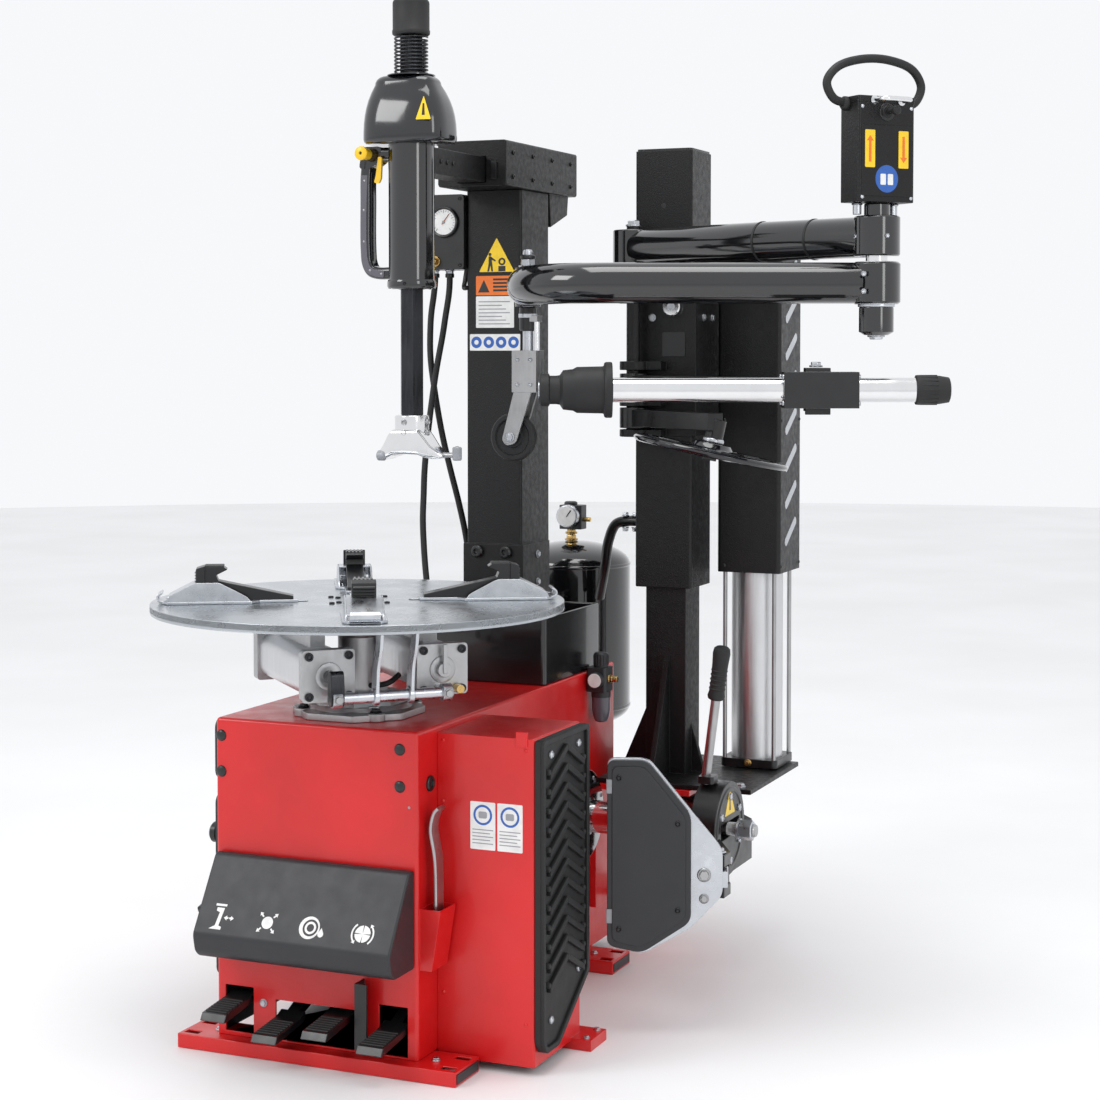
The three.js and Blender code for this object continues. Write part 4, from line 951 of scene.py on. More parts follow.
# ---------------------------------------------------------------- tray, lever, tank, regulator, bracket
def storage_tray():
    low, high = span("storage_tray")
    b = Build()
    b.cad("storage_tray")
    b.round_edges(9, upright((low.x, high.x), (low.y, high.y), 0), 5)
    piece("tray_moulding", b, [TRAY], "root", ["storage_tray"], 3, 4)


def tire_lever():
    low, high = span("tire_lever")
    middle = (low.y + high.y) / 2
    line = [(212, 197), (216, 300), (214, 380), (206, 430), (213, 458), (221, 467)]
    route = smooth_route([(x, middle, z) for x, z in line], 8)
    b = Build()
    b.sweep(route, 0, section=rounded((-15, -3.4), (15, 3.4), 2.6, 3), up=(1, 0, 0))
    piece("tire_lever_bar", b, [STEEL], "tire_lever", ["tire_lever"], 0.8, 2)


def air_tank():
    high = span("air_tank")[1]
    x, y, radius = -10, 1045, 128
    bottom, top, depth = 410, 833, 52
    b = Build()
    dome = arc((0, 0), 1, 90, 0, 12)
    profile = [(radius * c, top - depth + depth * s) for c, s in dome][::-1]
    base = [(radius * c, bottom + depth - depth * s) for c, s in dome]
    b.lathe("z", base + profile, (x, y), 72, 0)
    for z in (bottom + depth, top - depth):
        b.lathe("z", [(radius - 1, z - 5), (radius + 1.4, z - 2), (radius + 1.4, z + 2),
                      (radius - 1, z + 5)], (x, y), 72, 0)
    for z in (470, 720):
        b.prism("z", rounded((x - 40, BACK + GAP), (x + 40, y), 6), (z, z + 14), 0)
    b.box((x - 40, x + 40), (BACK + GAP, BACK + 8), (440, 734), 0)
    for z in (500, 560, 620, 680):
        for side in (-1, 1):
            b.bolt((x + side * 26, BACK + 8, z), (0, 1, 0), 13, 1)
    b.rod("z", 9, (top - 4, 862), (x, y - 14), 24, 2)
    b.bolt((x, y - 14, top + 2), (0, 0, 1), 24, 2, "hex", 12)
    b.bolt((x, y - 14, 850), (0, 0, 1), 22, 2, "hex", 9)
    b.prism("z", rounded((x - 24, y - 30), (x + 30, y + 6), 5), (860, high.z - 8), 3)
    b.lathe("z", [(15, high.z - 10), (15, high.z - 3), (12, high.z)], (x - 2, y - 12), 32, 3)
    b.bolt((x - 24, y - 12, 880), (-1, 0, 0), 14, 2, "hex", 8)
    b.rod("x", 5, (x + 28, x + 46), (y - 12, 882), 20, 2)
    b.lathe("y", [(24, y - 48), (26, y - 46), (26, y - 34), (22, y - 30)], (x + 2, 890), 40, 1)
    b.lathe("y", [(22.5, y - 49), (22.5, y - 47)], (x + 2, 890), 40, 4)
    b.prism("y", [(x + 1, 889), (x + 3, 889), (x + 14, 903), (x + 12, 905)], (y - 50, y - 49), 5)
    b.rod("z", 10, (bottom - 8, bottom + 6), (x, y), 20, 2)
    piece("tank_gloss", b, [GLOSS, ZINC, BRASS, PLASTIC, LABEL_WHITE, LABEL_BLACK], "root", ["air_tank"],
          0.9, 2)


def filter_regulator():
    low, high = span("filter_regulator")
    y = (low.y + high.y) / 2
    x = low.x + 24.7
    b = Build()
    b.prism("z", rounded((low.x, low.y), (high.x, high.y), 6), (562, 612), 0)
    bowl = [(8, low.z), (13, low.z + 3), (17, low.z + 14), (19, low.z + 26), (19, 556), (16, 563)]
    b.lathe("z", bowl, (x, y), 40, 1)
    b.lathe("z", [(20, 550), (20, 562)], (x, y), 40, 0)
    b.lathe("z", [(15, 611), (15, high.z - 3), (12, high.z)], (x, y), 40, 0)
    for place in circle((x, y), 14.6, 16):
        b.rod("z", 1.6, (616, high.z - 5), place, 8, 0)
    b.lathe("y", [(16, low.y - 14), (17, low.y - 12), (17, low.y - 2), (10, low.y)], (x, 588), 36, 0)
    b.lathe("y", [(14.5, low.y - 15), (14.5, low.y - 13)], (x, 588), 36, 2)
    b.bolt((high.x, y, 588), (1, 0, 0), 15, 3, "hex", 8)
    b.rod("x", 6, (high.x + 6, high.x + 18), (y, 588), 20, 3)
    piece("regulator_body", b, [PLASTIC, SMOKY_AND_GRIP_SHEEN, LABEL_WHITE, BRASS], "root", ["filter_regulator"],
          0.7)


def helper_base():
    b = Build()
    b.cad("helper_bracket")
    piece("helper_bracket_welded", b, [RED], "root", ["helper_bracket"], 1.5, 2)
    high = span("helper_column")[1]
    b = Build()
    b.cad("helper_column")
    b.round_edges(6, upright((257, 381), (735, 859), 800), 4)
    piece("helper_column_coated", b, [TEXTURED], "root", ["helper_column"], 1.6, 2)
    b = Build()
    for x in (232, 300, 510):
        for y in (672, 956):
            b.bolt((x, y, 380), (0, 0, 1), 18, 0)
    b.prism("z", rounded((259, 737), (379, 857), 8), (high.z - 6, high.z + 4), 1)
    b.bolt((319, 735, 1560), (0, -1, 0), 11, 1, "dome", 0.2)
    # A bent tube that steadies the tank, bolted to the helper's column.
    stay = smooth_route([(262, 792, 900), (226, 794, 902), (190, 800, 894), (168, 812, 858),
                         (150, 836, 800), (118, 884, 726)], 8)
    b.sweep(stay, 11, 16, 1)
    for x in (236, 214):
        b.bolt((x, 792, 913), (0, 0, 1), 13, 0, "hex", 7)
        b.bolt((x, 792, 889), (0, 0, -1), 13, 0, "hex", 9)
    piece("helper_base_trim", b, [ZINC, BLACK], "root")


def lift_cylinder():
    x, y = LIFT_LINE
    low, high = span("lift_cylinder")
    b = Build()
    b.box((x - 40, x + 40), (y - 30, y + 30), (low.z, low.z + 6), 2)
    b.lathe("z", [(54, 394), (54, 992)], (x, y), 72, 1)
    for z0, z1 in ((382, 400), (986, 1010)):
        b.prism("z", rounded((x - 62, y - 62), (x + 62, y + 62), 12), (z0, z1), 2)
    b.lathe("z", [(26, 1008), (26, high.z + 3), (20, high.z + 5)], (x, y), 40, 2)
    for a in (-1, 1):
        for c in (-1, 1):
            place = (x + a * 54, y + c * 54)
            b.rod("z", 4.5, (384, 1006), place, 16, 3)
            b.bolt((*place, 1010), (0, 0, 1), 15, 0, "hex", 8)
    for z in (392, 998):
        b.bolt((x, y - 62, z), (0, -1, 0), 12, 4, "hex", 8)
    piece("lift_cylinder_body", b, [ZINC, ANODISED, BLACK, STEEL, BRASS], "root", ["lift_cylinder"],
          1.0)


def bead_cylinder():
    low, high = span("bead_cylinder")
    b = Build()
    profile = [(0.5, low.x), (88, low.x), (93, low.x + 4), (93, 244), (90, 251), (84, 255), (40, 258),
               (34, 262)]
    profile += [(14.3, 262), (14.3, low.x + 20), (0.5, low.x + 20)]
    b.lathe("x", profile, BREAKER_LINE, 72, 0)
    b.lathe("x", [(94.5, 214), (95.5, 216), (95.5, 222), (94.5, 224)], BREAKER_LINE, 72, 0)
    sleeve = [(14.2, 250), (30, 250), (32, 262), (32, 340), (30, high.x), (15, high.x), (14.2, high.x - 3)]
    b.lathe("x", sleeve + sleeve[:1], BREAKER_LINE, 56, 1, caps=False)
    for place in circle(BREAKER_LINE, 76, 8, 22):
        b.bolt((252, *place), (1, 0, 0), 10, 2, "hex", 5)
    piece("bead_cylinder_body", b, [GLOSS, CHROME, ZINC], "root", ["bead_cylinder"], 0.7)


# ---------------------------------------------------------------- tilting column and beam
def column():
    front = 590
    b = Build()
    b.cad("tilt_column")
    b.round_edges(6, upright((-62, 62), (front, 735), 870), 4)
    piece("column_coated", b, [TEXTURED], "tilt_column", ["tilt_column"], 1.6, 2)
    b = Build()
    for x in (-34, 30):
        b.lathe("y", [(13, 586), (13, 578), (10, 575), (6, 575), (5, 579), (0.1, 579)], (x, 846), 36, 0)
    for side in (-1, 1):
        for z in (716, 780, 838):
            b.bolt((side * 68, 660, z), (side, 0, 0), 13, 1)
    for side in (-1, 1):
        b.rod("x", 20, (side * 62, side * 68), (748, 656), 36, 0)
        b.bolt((side * 68, 748, 656), (side, 0, 0), 20, 1)
    pipe = smooth_route([(-66, 604, 1440), (-70, 600, 1406), (-68, 592, 1392), (-60, 588, 1392)], 5)
    b.sweep(pipe, 5, 12, 0)
    piece("column_trim", b, [BLACK, ZINC], "tilt_column", bevel=0.4)
    column_labels(front)


def person_and_wheel(b, use):
    """A generic safety symbol: a figure beside a wheel on a stand."""
    b.prism("z", circle((-15, 22), 3.4, 16), FIGURE, use)
    body = [(-18, 18), (-12, 18), (-10, 4), (-8, -13), (-12, -13), (-14, 0), (-17, -13), (-21, -13),
            (-18, 4)]
    b.prism("z", body, FIGURE, use)
    b.prism("z", [(-12, 17), (-2, 10), (-3, 7), (-13, 12)], FIGURE, use)
    b.box((4, 20), (-13, -2), FIGURE, use)
    b.plate("z", circle((12, 7), 8, 24), [circle((12, 7), 4, 24)], FIGURE, use)


def column_labels(y):
    b = Build(frontal(7, y, 1424))
    b.prism("z", fillet([(-40, 0), (40, 0), (0, 70)], 3), LABEL, 0)
    b.at = frontal(7, y, 1438)
    person_and_wheel(b, 1)
    b.at = frontal(3, y, 0)
    b.prism("z", rounded((-43, 1309), (43, 1374), 2), LABEL, 2)
    b.prism("z", rounded((-43, 1376), (43, 1416), 2), LABEL, 3)
    b.prism("z", [(-38, 1382), (-12, 1382), (-25, 1408)], PRINT, 1)
    for k in range(4):
        b.box((-4, 36), (1384 + 7.5 * k, 1388 + 7.5 * k), PRINT, 1)
    for k in range(7):
        v = 1316 + 7.6 * k
        b.box((-37, 34 - 9 * (k % 3)), (v, v + 2.2), (0.3, 0.45), 4)
    b.prism("z", rounded((-57, 1262), (57, 1296), 2), LABEL, 2)
    for k in range(4):
        u = -42 + 28 * k
        b.prism("z", circle((u, 1279), 12, 24), PRINT, 5)
        b.prism("z", circle((u, 1279), 5, 24), (0.45, 0.6), 2)
    piece("column_labels", b,
          [LABEL_YELLOW, LABEL_BLACK, LABEL_WHITE, LABEL_ORANGE, LABEL_GREY, LABEL_BLUE],
          "tilt_column")


def beam():
    low, high = span("arm_beam")
    b = Build()
    b.cad("arm_beam")
    b.round_edges(5, lambda m, w: abs(w.y) > 0.99 and near(m.x, low.x, high.x) and m.z > 1590, 4)
    piece("beam_coated", b, [TEXTURED], "tilt_column", ["arm_beam"], 1.6, 2)
    b = Build()
    for y in (520, 620, 720, 820):
        for z in (1612, 1660):
            for side in (-1, 1):
                b.bolt((side * high.x, y, z), (side, 0, 0), 9, 0, "socket", 3)
    for x in (-58, 58):
        for z in (1606, 1670):
            b.bolt((x, high.y, z), (0, 1, 0), 13, 1)
    b.prism("y", rounded((-34, 1596), (34, 1654), 6), (high.y - 0.5, high.y + 3), 0)
    for x in (-50, 50):
        b.box((x - 6, x + 6), (low.y - 4, low.y + 2), (1606, 1640), 0)
    piece("beam_trim", b, [BLACK, ZINC], "tilt_column", bevel=0.4)
    b = Build()
    b.cad("arm_bar")
    low, high = span("arm_bar")
    for y in (284, 311, 338):
        for side in (-1, 1):
            b.bolt((side * high.x, y, 1625), (side, 0, 0), 8, 1, "socket", 2.5)
    b.prism("y", rounded((-31, 1601), (31, 1649), 5), (high.y - 5, high.y + 3), 1)
    piece("arm_bar_coated", b, [TEXTURED, BLACK], "slide_arm", ["arm_bar"], 1.4, 3)


def gauge_box():
    low, high = span("gauge_box")
    front = 578
    middle = (low.x + high.x) / 2
    b = Build()
    b.prism("y", rounded((low.x, low.z), (high.x, high.z), 7), (front, high.y), 0)
    dial = (middle, 1528)
    b.lathe("y", [(26, front - 4), (30, front - 8), (32, front - 6), (33, front)], dial, 56, 0)
    b.lathe("y", [(27, front - 4.5), (27, front - 3)], dial, 56, 1)
    for k in range(21):
        turn = math.radians(225 - 13.5 * k)
        length = 6 if k % 5 == 0 else 3.5
        way = Vector((math.cos(turn), math.sin(turn)))
        side = Vector((-way.y, way.x)) * 0.45
        outer, inner = way * 25, way * (25 - length)
        mark = [outer + side, outer - side, inner - side, inner + side]
        b.prism("y", [(dial[0] + c.x, dial[1] + c.y) for c in mark], (front - 5, front - 4.4), 2)
    b.at = turned_by(38, (dial[0], front - 5.4, dial[1]), "Y")
    b.prism("y", [(-1.2, -6), (1.2, -6), (0.4, 21), (-0.4, 21)], (-0.6, 0.2), 3)
    b.lathe("y", [(3.2, -1.2), (3.2, 0.6)], (0, 0), 20, 2)
    b.at = Matrix()
    b.lathe("y", [(6, front - 16), (8, front - 14), (8, front - 7), (5, front - 6), (5, front + 1)],
            (-128, 1447), 28, 4)
    b.lathe("y", [(11, front - 3), (12, front)], (-128, 1447), 28, 4)
    for x in (low.x + 9, high.x - 9):
        for z in (low.z + 9, high.z - 9):
            b.bolt((x, front, z), (0, -1, 0), 7, 0, "socket", 2.2)
    for x, y in ((-111, 612), (-140, 602)):
        b.bolt((x, y, low.z), (0, 0, -1), 17, 5, "hex", 9)
        b.lathe("z", [(9, low.z - 16), (9.5, low.z - 14), (9.5, low.z - 8), (8, low.z - 7)], (x, y), 28, 0)
    piece("gauge_box_body", b, [BLACK, LABEL_WHITE, LABEL_GREY, LABEL_ORANGE, BRASS, ZINC], "tilt_column",
          ["gauge_box"], 0.8)


def hose_ends():
    b = Build()
    b.lathe("z", [(13, 602.3), (13, 606), (9.5, 608), (9.5, 622), (8, 624)], (-84, 666), 32, 0)
    b.lathe("z", [(13, 632.6), (13, 637), (9.5, 639), (9.5, 654), (8, 656)], (-117, 542), 32, 0)
    piece("hose_glands", b, [PLASTIC], "root", bevel=0.4)


# ---------------------------------------------------------------- mounting head
HEAD = Vector((0, 217, 0))
SHAFT_LOW, SHAFT_HIGH = (corner.z for corner in span("tool_shaft"))


def head_housing():
    low, high = span("head_housing")
    x, y = 0, HEAD.y
    b = Build()
    profile = [(26, low.z), (37, low.z), (41, low.z + 3), (44, low.z + 9), (44, high.z), (34, high.z),
               (34, 1420), (26, 1420), (26, low.z)]
    b.lathe("z", profile, (x, y), 72, 0, caps=False)
    b.lathe("z", [(45, 1380), (47, 1384), (47, 1392), (45, 1396)], (x, y), 72, 0, caps=False)
    for c, s in circle((0, 0), 1, 3, -80):
        b.bolt((x + 46.5 * c, y + 46.5 * s, 1388), (c, s, 0), 7, 1, "socket", 2)
    b.box((-6, 6), (y + 40, y + 52), (1400, 1600), 0)
    piece("head_tube", b, [GLOSS, DARK_STEEL], "slide_arm", ["head_housing"], 0.5)


def loft(b, levels, use=0, power=3.2, sides=72):
    """Stacks rounded-square rings: each level is (height, x0, x1, y0, y1)."""
    rings = []
    for z, x0, x1, y0, y1 in levels:
        ring = []
        for i in range(sides):
            turn = 2 * math.pi * i / sides
            c, s = math.cos(turn), math.sin(turn)
            u = math.copysign(abs(c) ** (2 / power), c)
            v = math.copysign(abs(s) ** (2 / power), s)
            ring.append(((x0 + x1) / 2 + u * (x1 - x0) / 2, (y0 + y1) / 2 + v * (y1 - y0) / 2, z))
        rings.append(b.ring(ring))
    b.skin(rings, use)


def head_hood():
    low, high = span("head_hood")
    y0, y1 = low.y, high.y
    b = Build()
    # Each level is a height and the limits in X and Y: a flared rim, a swelling body and a rounded crown.
    levels = [(low.z, -84, 78, y0 + 6, y1 - 6), (low.z + 3, -87, 82, y0 + 2, y1 - 2),
              (low.z + 8, -88, 84, y0, y1)]
    for k in range(1, 8):
        share = k / 7
        inset = 22 * share**2.6
        levels.append((low.z + 8 + (high.z - low.z - 26) * share, -88 + inset * 0.9, 84 - inset * 1.25,
                       y0 + inset, y1 - inset))
    last = levels[-1]
    for k in range(1, 7):
        turn = math.radians(15 * k)
        drop = 18 * (1 - math.cos(turn))
        levels.append((last[0] + 18 * math.sin(turn), last[1] + drop, last[2] - drop * 1.3, last[3] + drop,
                       last[4] - drop))
    loft(b, levels, 0)
    rim = [(46, high.z - 1), (46, high.z + 1), (38, high.z + 2.5), (35, high.z + 1)]
    b.lathe("z", rim, (0, HEAD.y), 56, 0)
    b.box((-90, -86), (HEAD.y - 18, HEAD.y + 18), (low.z + 12, low.z + 58), 0)
    piece("hood_dome", b, [SHELL], "slide_arm", ["head_hood"], smooth=44)
    b = Build(facing((56, y0 + 2.2, 1692), (1, 0.13, 0), (0, 0.06, 1)))
    b.prism("z", fillet([(-15, 0), (15, 0), (0, 44)], 2), (0, 0.6), 0)
    b.prism("z", [(-3, 8), (3, 8), (1.6, 30), (-1.6, 30)], (0.5, 0.8), 1)
    piece("hood_label", b, [LABEL_YELLOW, LABEL_BLACK], "slide_arm")


def grip_handle():
    y = HEAD.y
    line = [(-40, 1408), (-66, 1408), (-82, 1413), (-91, 1428), (-94, 1456), (-94, 1540), (-93, 1600),
            (-88, 1626), (-72, 1637), (-40, 1638)]
    route = smooth_route([(x, y, z) for x, z in line], 7)
    b = Build()
    b.sweep(route, 0, section=rounded((-17, -13), (17, 10), 8, 5), up=(1, 0, 0))
    b.prism("y", fillet([(-104, 1608), (-80, 1608), (-56, 1624), (-56, 1650), (-96, 1650)], 9),
            (y - 17, y + 17), 0)
    piece("grip_shell", b, [SHELL], "slide_arm", ["grip_handle"], smooth=50)
    b = Build()
    line = [(-50, 1408), (-68, 1410), (-82, 1416), (-90, 1432), (-93, 1458), (-93, 1540), (-91, 1596)]
    inner = smooth_route([(x, y, z) for x, z in line], 7)
    # The two lighter purple-grey strips are painted sheen: they stand in for the shine on the glossy black
    # grip.
    for near_edge, far_edge in ((-18.4, -16.5), (16.5, 18.4)):
        b.sweep(inner, 0, section=rounded((near_edge, -7), (far_edge, 6), 0.8, 2), up=(1, 0, 0))
    for x, z in ((-56, 1408), (-80, 1415), (-93, 1470), (-93, 1530), (-91.5, 1586)):
        b.bolt((x, y - 18.2, z), (0, -1, 0), 4.4, 1, "dome", 1)
    b.at = turned_by(8, (-60, y - 18, 1606), "Y")
    b.prism("y", fillet([(-5, -26), (6, -26), (9, -16), (5, 24), (-3, 24), (-3, -12)], 3), (-5, 1), 2)
    piece("grip_painted_sheen_and_trim", b, [SMOKY_AND_GRIP_SHEEN, STEEL, YELLOW], "slide_arm", bevel=0.4)


def lock_button():
    low, high = span("lock_button")
    x, z = -86, 1636
    b = Build()
    knob = [(9, low.y), (13, low.y + 2), (13.5, low.y + 5), (13, low.y + 8), (11, low.y + 9), (11, high.y)]
    b.lathe("y", [(3, low.y + 4), (3.4, low.y)] + knob, (x, z), 40, 0)
    b.lathe("y", [(3, low.y + 3.5), (3, low.y + 4.5)], (x, z), 20, 1)
    piece("lock_knob", b, [YELLOW, BLACK], "lock_button", ["lock_button"], 0.4)


def tool_shaft():
    x, y = 0, HEAD.y
    b = Build()
    b.rod("z", 24, (SHAFT_LOW, SHAFT_HIGH), (x, y), 6, 0)
    piece("shaft_hexagon", b, [DARK_STEEL], "tool_shaft", ["tool_shaft"], 1.6, 3)
    low, high = span("shaft_cap")
    b = Build()
    skirt = [(33, low.z), (35.5, low.z + 2), (36, low.z + 5), (36, low.z + 9), (35, low.z + 10)]
    crown = [(r + 26, h + high.z - 9) for r, h in arc((0, 0), 9, 0, 90, 8)]
    profile = skirt + [(35, high.z - 9)] + crown + [(20, high.z - 0.6), (5, high.z - 0.4)]
    b.lathe("z", profile, (x, y), 72, 0)
    ring = [(20, high.z - 4), (20, high.z - 0.2), (18, high.z - 0.2), (17, high.z - 2)]
    b.lathe("z", ring, (x, y), 48, 0)
    piece("shaft_cap_rubber", b, [RUBBER], "tool_shaft", ["shaft_cap"], smooth=50)


def shaft_spring():
    low, high = span("shaft_spring")
    pitch, wire = 6.9, 2.0
    radius = (high.x - low.x) / 2 - wire
    height = high.z - low.z - 2 * wire
    turns = height / pitch
    steps = int(turns * 22)
    route = []
    for i in range(steps + 1):
        share = i / steps
        turn = 2 * math.pi * turns * share
        route.append((radius * math.cos(turn), HEAD.y + radius * math.sin(turn),
                      low.z + wire + height * share))
    b = Build()
    b.sweep(route, wire, 7)
    made = piece("spring_coil", b, [DARK_STEEL], None, ["shaft_spring"], smooth=80)
    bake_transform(made)


def mount_head():
    y = HEAD.y
    high = span("mount_head")[1]
    b = Build()
    # The polished foot: a boat-shaped shoe with an upturned nose, lofted from left to right.
    stations = [
        (-66, 1053, 1062, 15), (-60, 1052, 1070, 24), (-48, 1054, 1082, 30), (-36, 1059, 1102, 33),
        (-26, 1063, 1112, 34), (0, 1065, 1113, 34), (26, 1064, 1112, 33), (36, 1060, 1100, 31),
        (50, 1057, 1082, 28), (64, 1057, 1071, 22), (72, 1059, 1066, 14),
    ]
    rings = []
    for x, z0, z1, half in stations:
        flat = fillet([(-half, z0), (half - 4, z0), (half - 4, z1), (-half, z1)], 9, 4)
        rings.append(b.ring([(x, y + a - 2, z) for a, z in flat]))
    b.skin(rings, 0)
    b.lathe("z", [(30, 1094), (33, 1098), (33, high.z - 3), (31, high.z), (24, high.z)], (0, y), 64, 0)
    for z in (1106, 1126):
        b.bolt((0, y - 32.6, z), (0, -1, 0), 11, 1, "socket", 3.5)
        b.bolt((32.6, y, z), (1, 0, 0), 11, 1, "socket", 3.5)
    b.rod("x", 5, (56, 99), (y - 6, 1064), 24, 1)
    b.lathe("z", [(7, 1054), (9, 1056), (9, 1078), (7, 1080)], (98, y - 6), 36, 2)
    b.lathe("x", [(6, -60), (10, -57), (10, -45), (6, -42)], (y - 28, 1062), 28, 2)
    b.bolt((98, y - 6, 1079.5), (0, 0, 1), 8, 1, "dome", 2)
    piece("mount_shoe", b, [CHROME, STEEL, LABEL_GREY], "tool_shaft", ["mount_head"], 0.8, 2, 35)


# ---------------------------------------------------------------- helper: carriage, arms and their tools
PIVOT = pivot("upper_swing")
ELBOW = pivot("elbow_swing")
UPPER_Z, FORE_Z = 1471, 1386
TUBE = 38
ALONG = Vector((math.cos(math.radians(VIEW_TURN)), math.sin(math.radians(VIEW_TURN)), 0))
ACROSS = Vector((-ALONG.y, ALONG.x, 0))


def at_height(point, z):
    return Vector((point.x, point.y, z))


def collar(b, centre, radius, low, high, use=0, lip=2.0):
    profile = [(radius - lip, low), (radius, low + lip), (radius, high - lip), (radius - lip, high)]
    b.lathe("z", profile, (centre.x, centre.y), 64, use)


def carriage():
    b = Build()
    b.cad("carriage")
    piece("carriage_coated", b, [TEXTURED], "carriage", ["carriage"], 1.4, 2)
    b = Build()
    for z in (1110, 1180, 1330, 1400):
        b.bolt((394.5, 770, z), (1, 0, 0), 13, 0)
        b.bolt((394.5, 825, z), (1, 0, 0), 13, 0)
        b.bolt((300, 721.5, z), (0, -1, 0), 13, 0)
    b.bolt((PIVOT.x, PIVOT.y, UPPER_Z + 46), (0, 0, 1), 26, 0, "hex", 12)
    b.prism("y", rounded((322, 1250), (372, 1300), 4), (720, 722), 1)
    b.lathe("y", [(17, 706), (19, 708), (19, 716), (22, 722)], (346, 1352), 36, 2)
    b.lathe("y", [(8, 704), (8, 708)], (346, 1352), 24, 0)
    piece("carriage_trim", b, [ZINC, BLACK, CHROME], "carriage", bevel=0.4)
    low, high = span("carriage_cover")
    b = Build()
    b.cad("carriage_cover")

    def outer(middle, way):
        side_x, side_y = near(middle.x, low.x, high.x), near(middle.y, low.y, high.y)
        return (abs(way.z) > 0.99 and side_x and side_y) or (near(middle.z, high.z) and (side_x or side_y))

    b.round_edges(9, outer, 5)
    piece("cover_coated", b, [TEXTURED], "carriage", ["carriage_cover"], 1.2, 2)
    b = Build()
    # A row of plain slanted dashes and the cover's screws.
    for z in range(880, 1440, 78):
        b.at = sideways(high.x, (low.y + high.y) / 2, z) @ turned_by(32)
        b.prism("z", rounded((-46, -9), (46, 9), 8.5, 6), (-0.3, 0.7), 0)
    b.at = Matrix()
    for z in (low.z + 14, low.z + 320, high.z - 26):
        for y in (low.y + 12, high.y - 12):
            b.bolt((high.x, y, z), (1, 0, 0), 8, 1, "dome", 2.2)
        b.bolt((low.x + 16, low.y, z), (0, -1, 0), 8, 1, "dome", 2.2)
    piece("cover_trim", b, [ZINC, BLACK], "carriage")
    low, high = span("lift_rod")
    b = Build()
    b.rod("z", 12, (low.z, high.z), LIFT_LINE, 40, 0, 0.8)
    piece("lift_rod_chrome", b, [CHROME], "carriage", ["lift_rod"])


def bent(start, corner, end, first, last, steps=20):
    """A straight, a curved corner and a straight."""
    a = corner.lerp(start, first)
    c = corner.lerp(end, last)
    curve = []
    for k in range(steps + 1):
        t = k / steps
        curve.append(a * (1 - t) ** 2 + corner * 2 * t * (1 - t) + c * t**2)
    return [start, *curve, end]


def upper_arm():
    root = at_height(PIVOT, UPPER_Z)
    elbow = at_height(ELBOW, UPPER_Z)
    knee = Vector((520, 553, UPPER_Z))
    b = Build()
    b.sweep(bent(root.lerp(knee, 0.08), knee, elbow, 0.35, 0.3), TUBE, 56)
    collar(b, root, 42, UPPER_Z - TUBE, UPPER_Z + TUBE)
    collar(b, elbow, 43, UPPER_Z - TUBE + 2, UPPER_Z + TUBE, 0, 3)
    collar(b, elbow, 24, UPPER_Z + TUBE - 4, 1532)
    collar(b, elbow, 20, 1344, UPPER_Z - TUBE + 12, 1, 0.2)
    b.lathe("z", [(22, 1290), (32, 1296), (32, 1340), (30, 1344)], (elbow.x, elbow.y), 56, 0)
    b.lathe("z", [(34, 1342), (34, 1347.4)], (elbow.x, elbow.y), 56, 2)
    b.bolt((elbow.x, elbow.y, 1290), (0, 0, -1), 26, 2, "hex", 8)
    for place in circle((0, 0), 1, 4, 40):
        away = Vector((*place, 0))
        b.bolt(elbow + away * 43, away, 9, 2, "socket", 2.5)
    # Cable ties around the tube.
    for share in (0.25, 0.6):
        spot = knee.lerp(elbow, share)
        way = (elbow - knee).normalized()
        b.sweep([spot - way * 2.5, spot + way * 2.5], TUBE + 1.2, 56, 3)
    piece("upper_arm_tube", b, [GLOSS, CHROME, ZINC, RUBBER], "upper_arm", ["upper_arm"], 0.9, 2)


def fore_arm():
    elbow = at_height(ELBOW, FORE_Z)
    corner = elbow - ALONG * 477
    centre = corner + ACROSS * 170
    route = [elbow - ALONG * 30, corner + ALONG * 160]
    for k in range(25):
        turn = math.radians(90 * k / 24)
        route.append(centre - ACROSS * 170 * math.cos(turn) - ALONG * 170 * math.sin(turn))
    route.append(route[-1] + ACROSS * 120)
    b = Build()
    b.sweep(route, TUBE, 56)
    b.sweep([route[-1] - ACROSS * 2, route[-1] + ACROSS * 3], TUBE - 3, 56, 1)
    collar(b, elbow, 44, FORE_Z - TUBE, FORE_Z + TUBE, 0, 3)
    for z in (FORE_Z - TUBE - 1, FORE_Z + TUBE - 1):
        b.lathe("z", [(40, z), (40, z + 2)], (elbow.x, elbow.y), 48, 2)
    press = pivot("press_swivel")
    for z0, z1 in ((FORE_Z - TUBE, FORE_Z - 30), (FORE_Z + 30, FORE_Z + TUBE)):
        b.lathe("z", [(25, z0), (25, z1)], (press.x, press.y), 48, 0)
    for k in range(2):
        b.bolt(elbow - ALONG * 30 - ACROSS * 43 + Vector((0, 0, 16 - 32 * k)), -ACROSS, 10, 2, "socket", 3)
    piece("fore_arm_tube", b, [GLOSS, PLASTIC, ZINC], "fore_arm", ["fore_arm"], 0.9, 2)


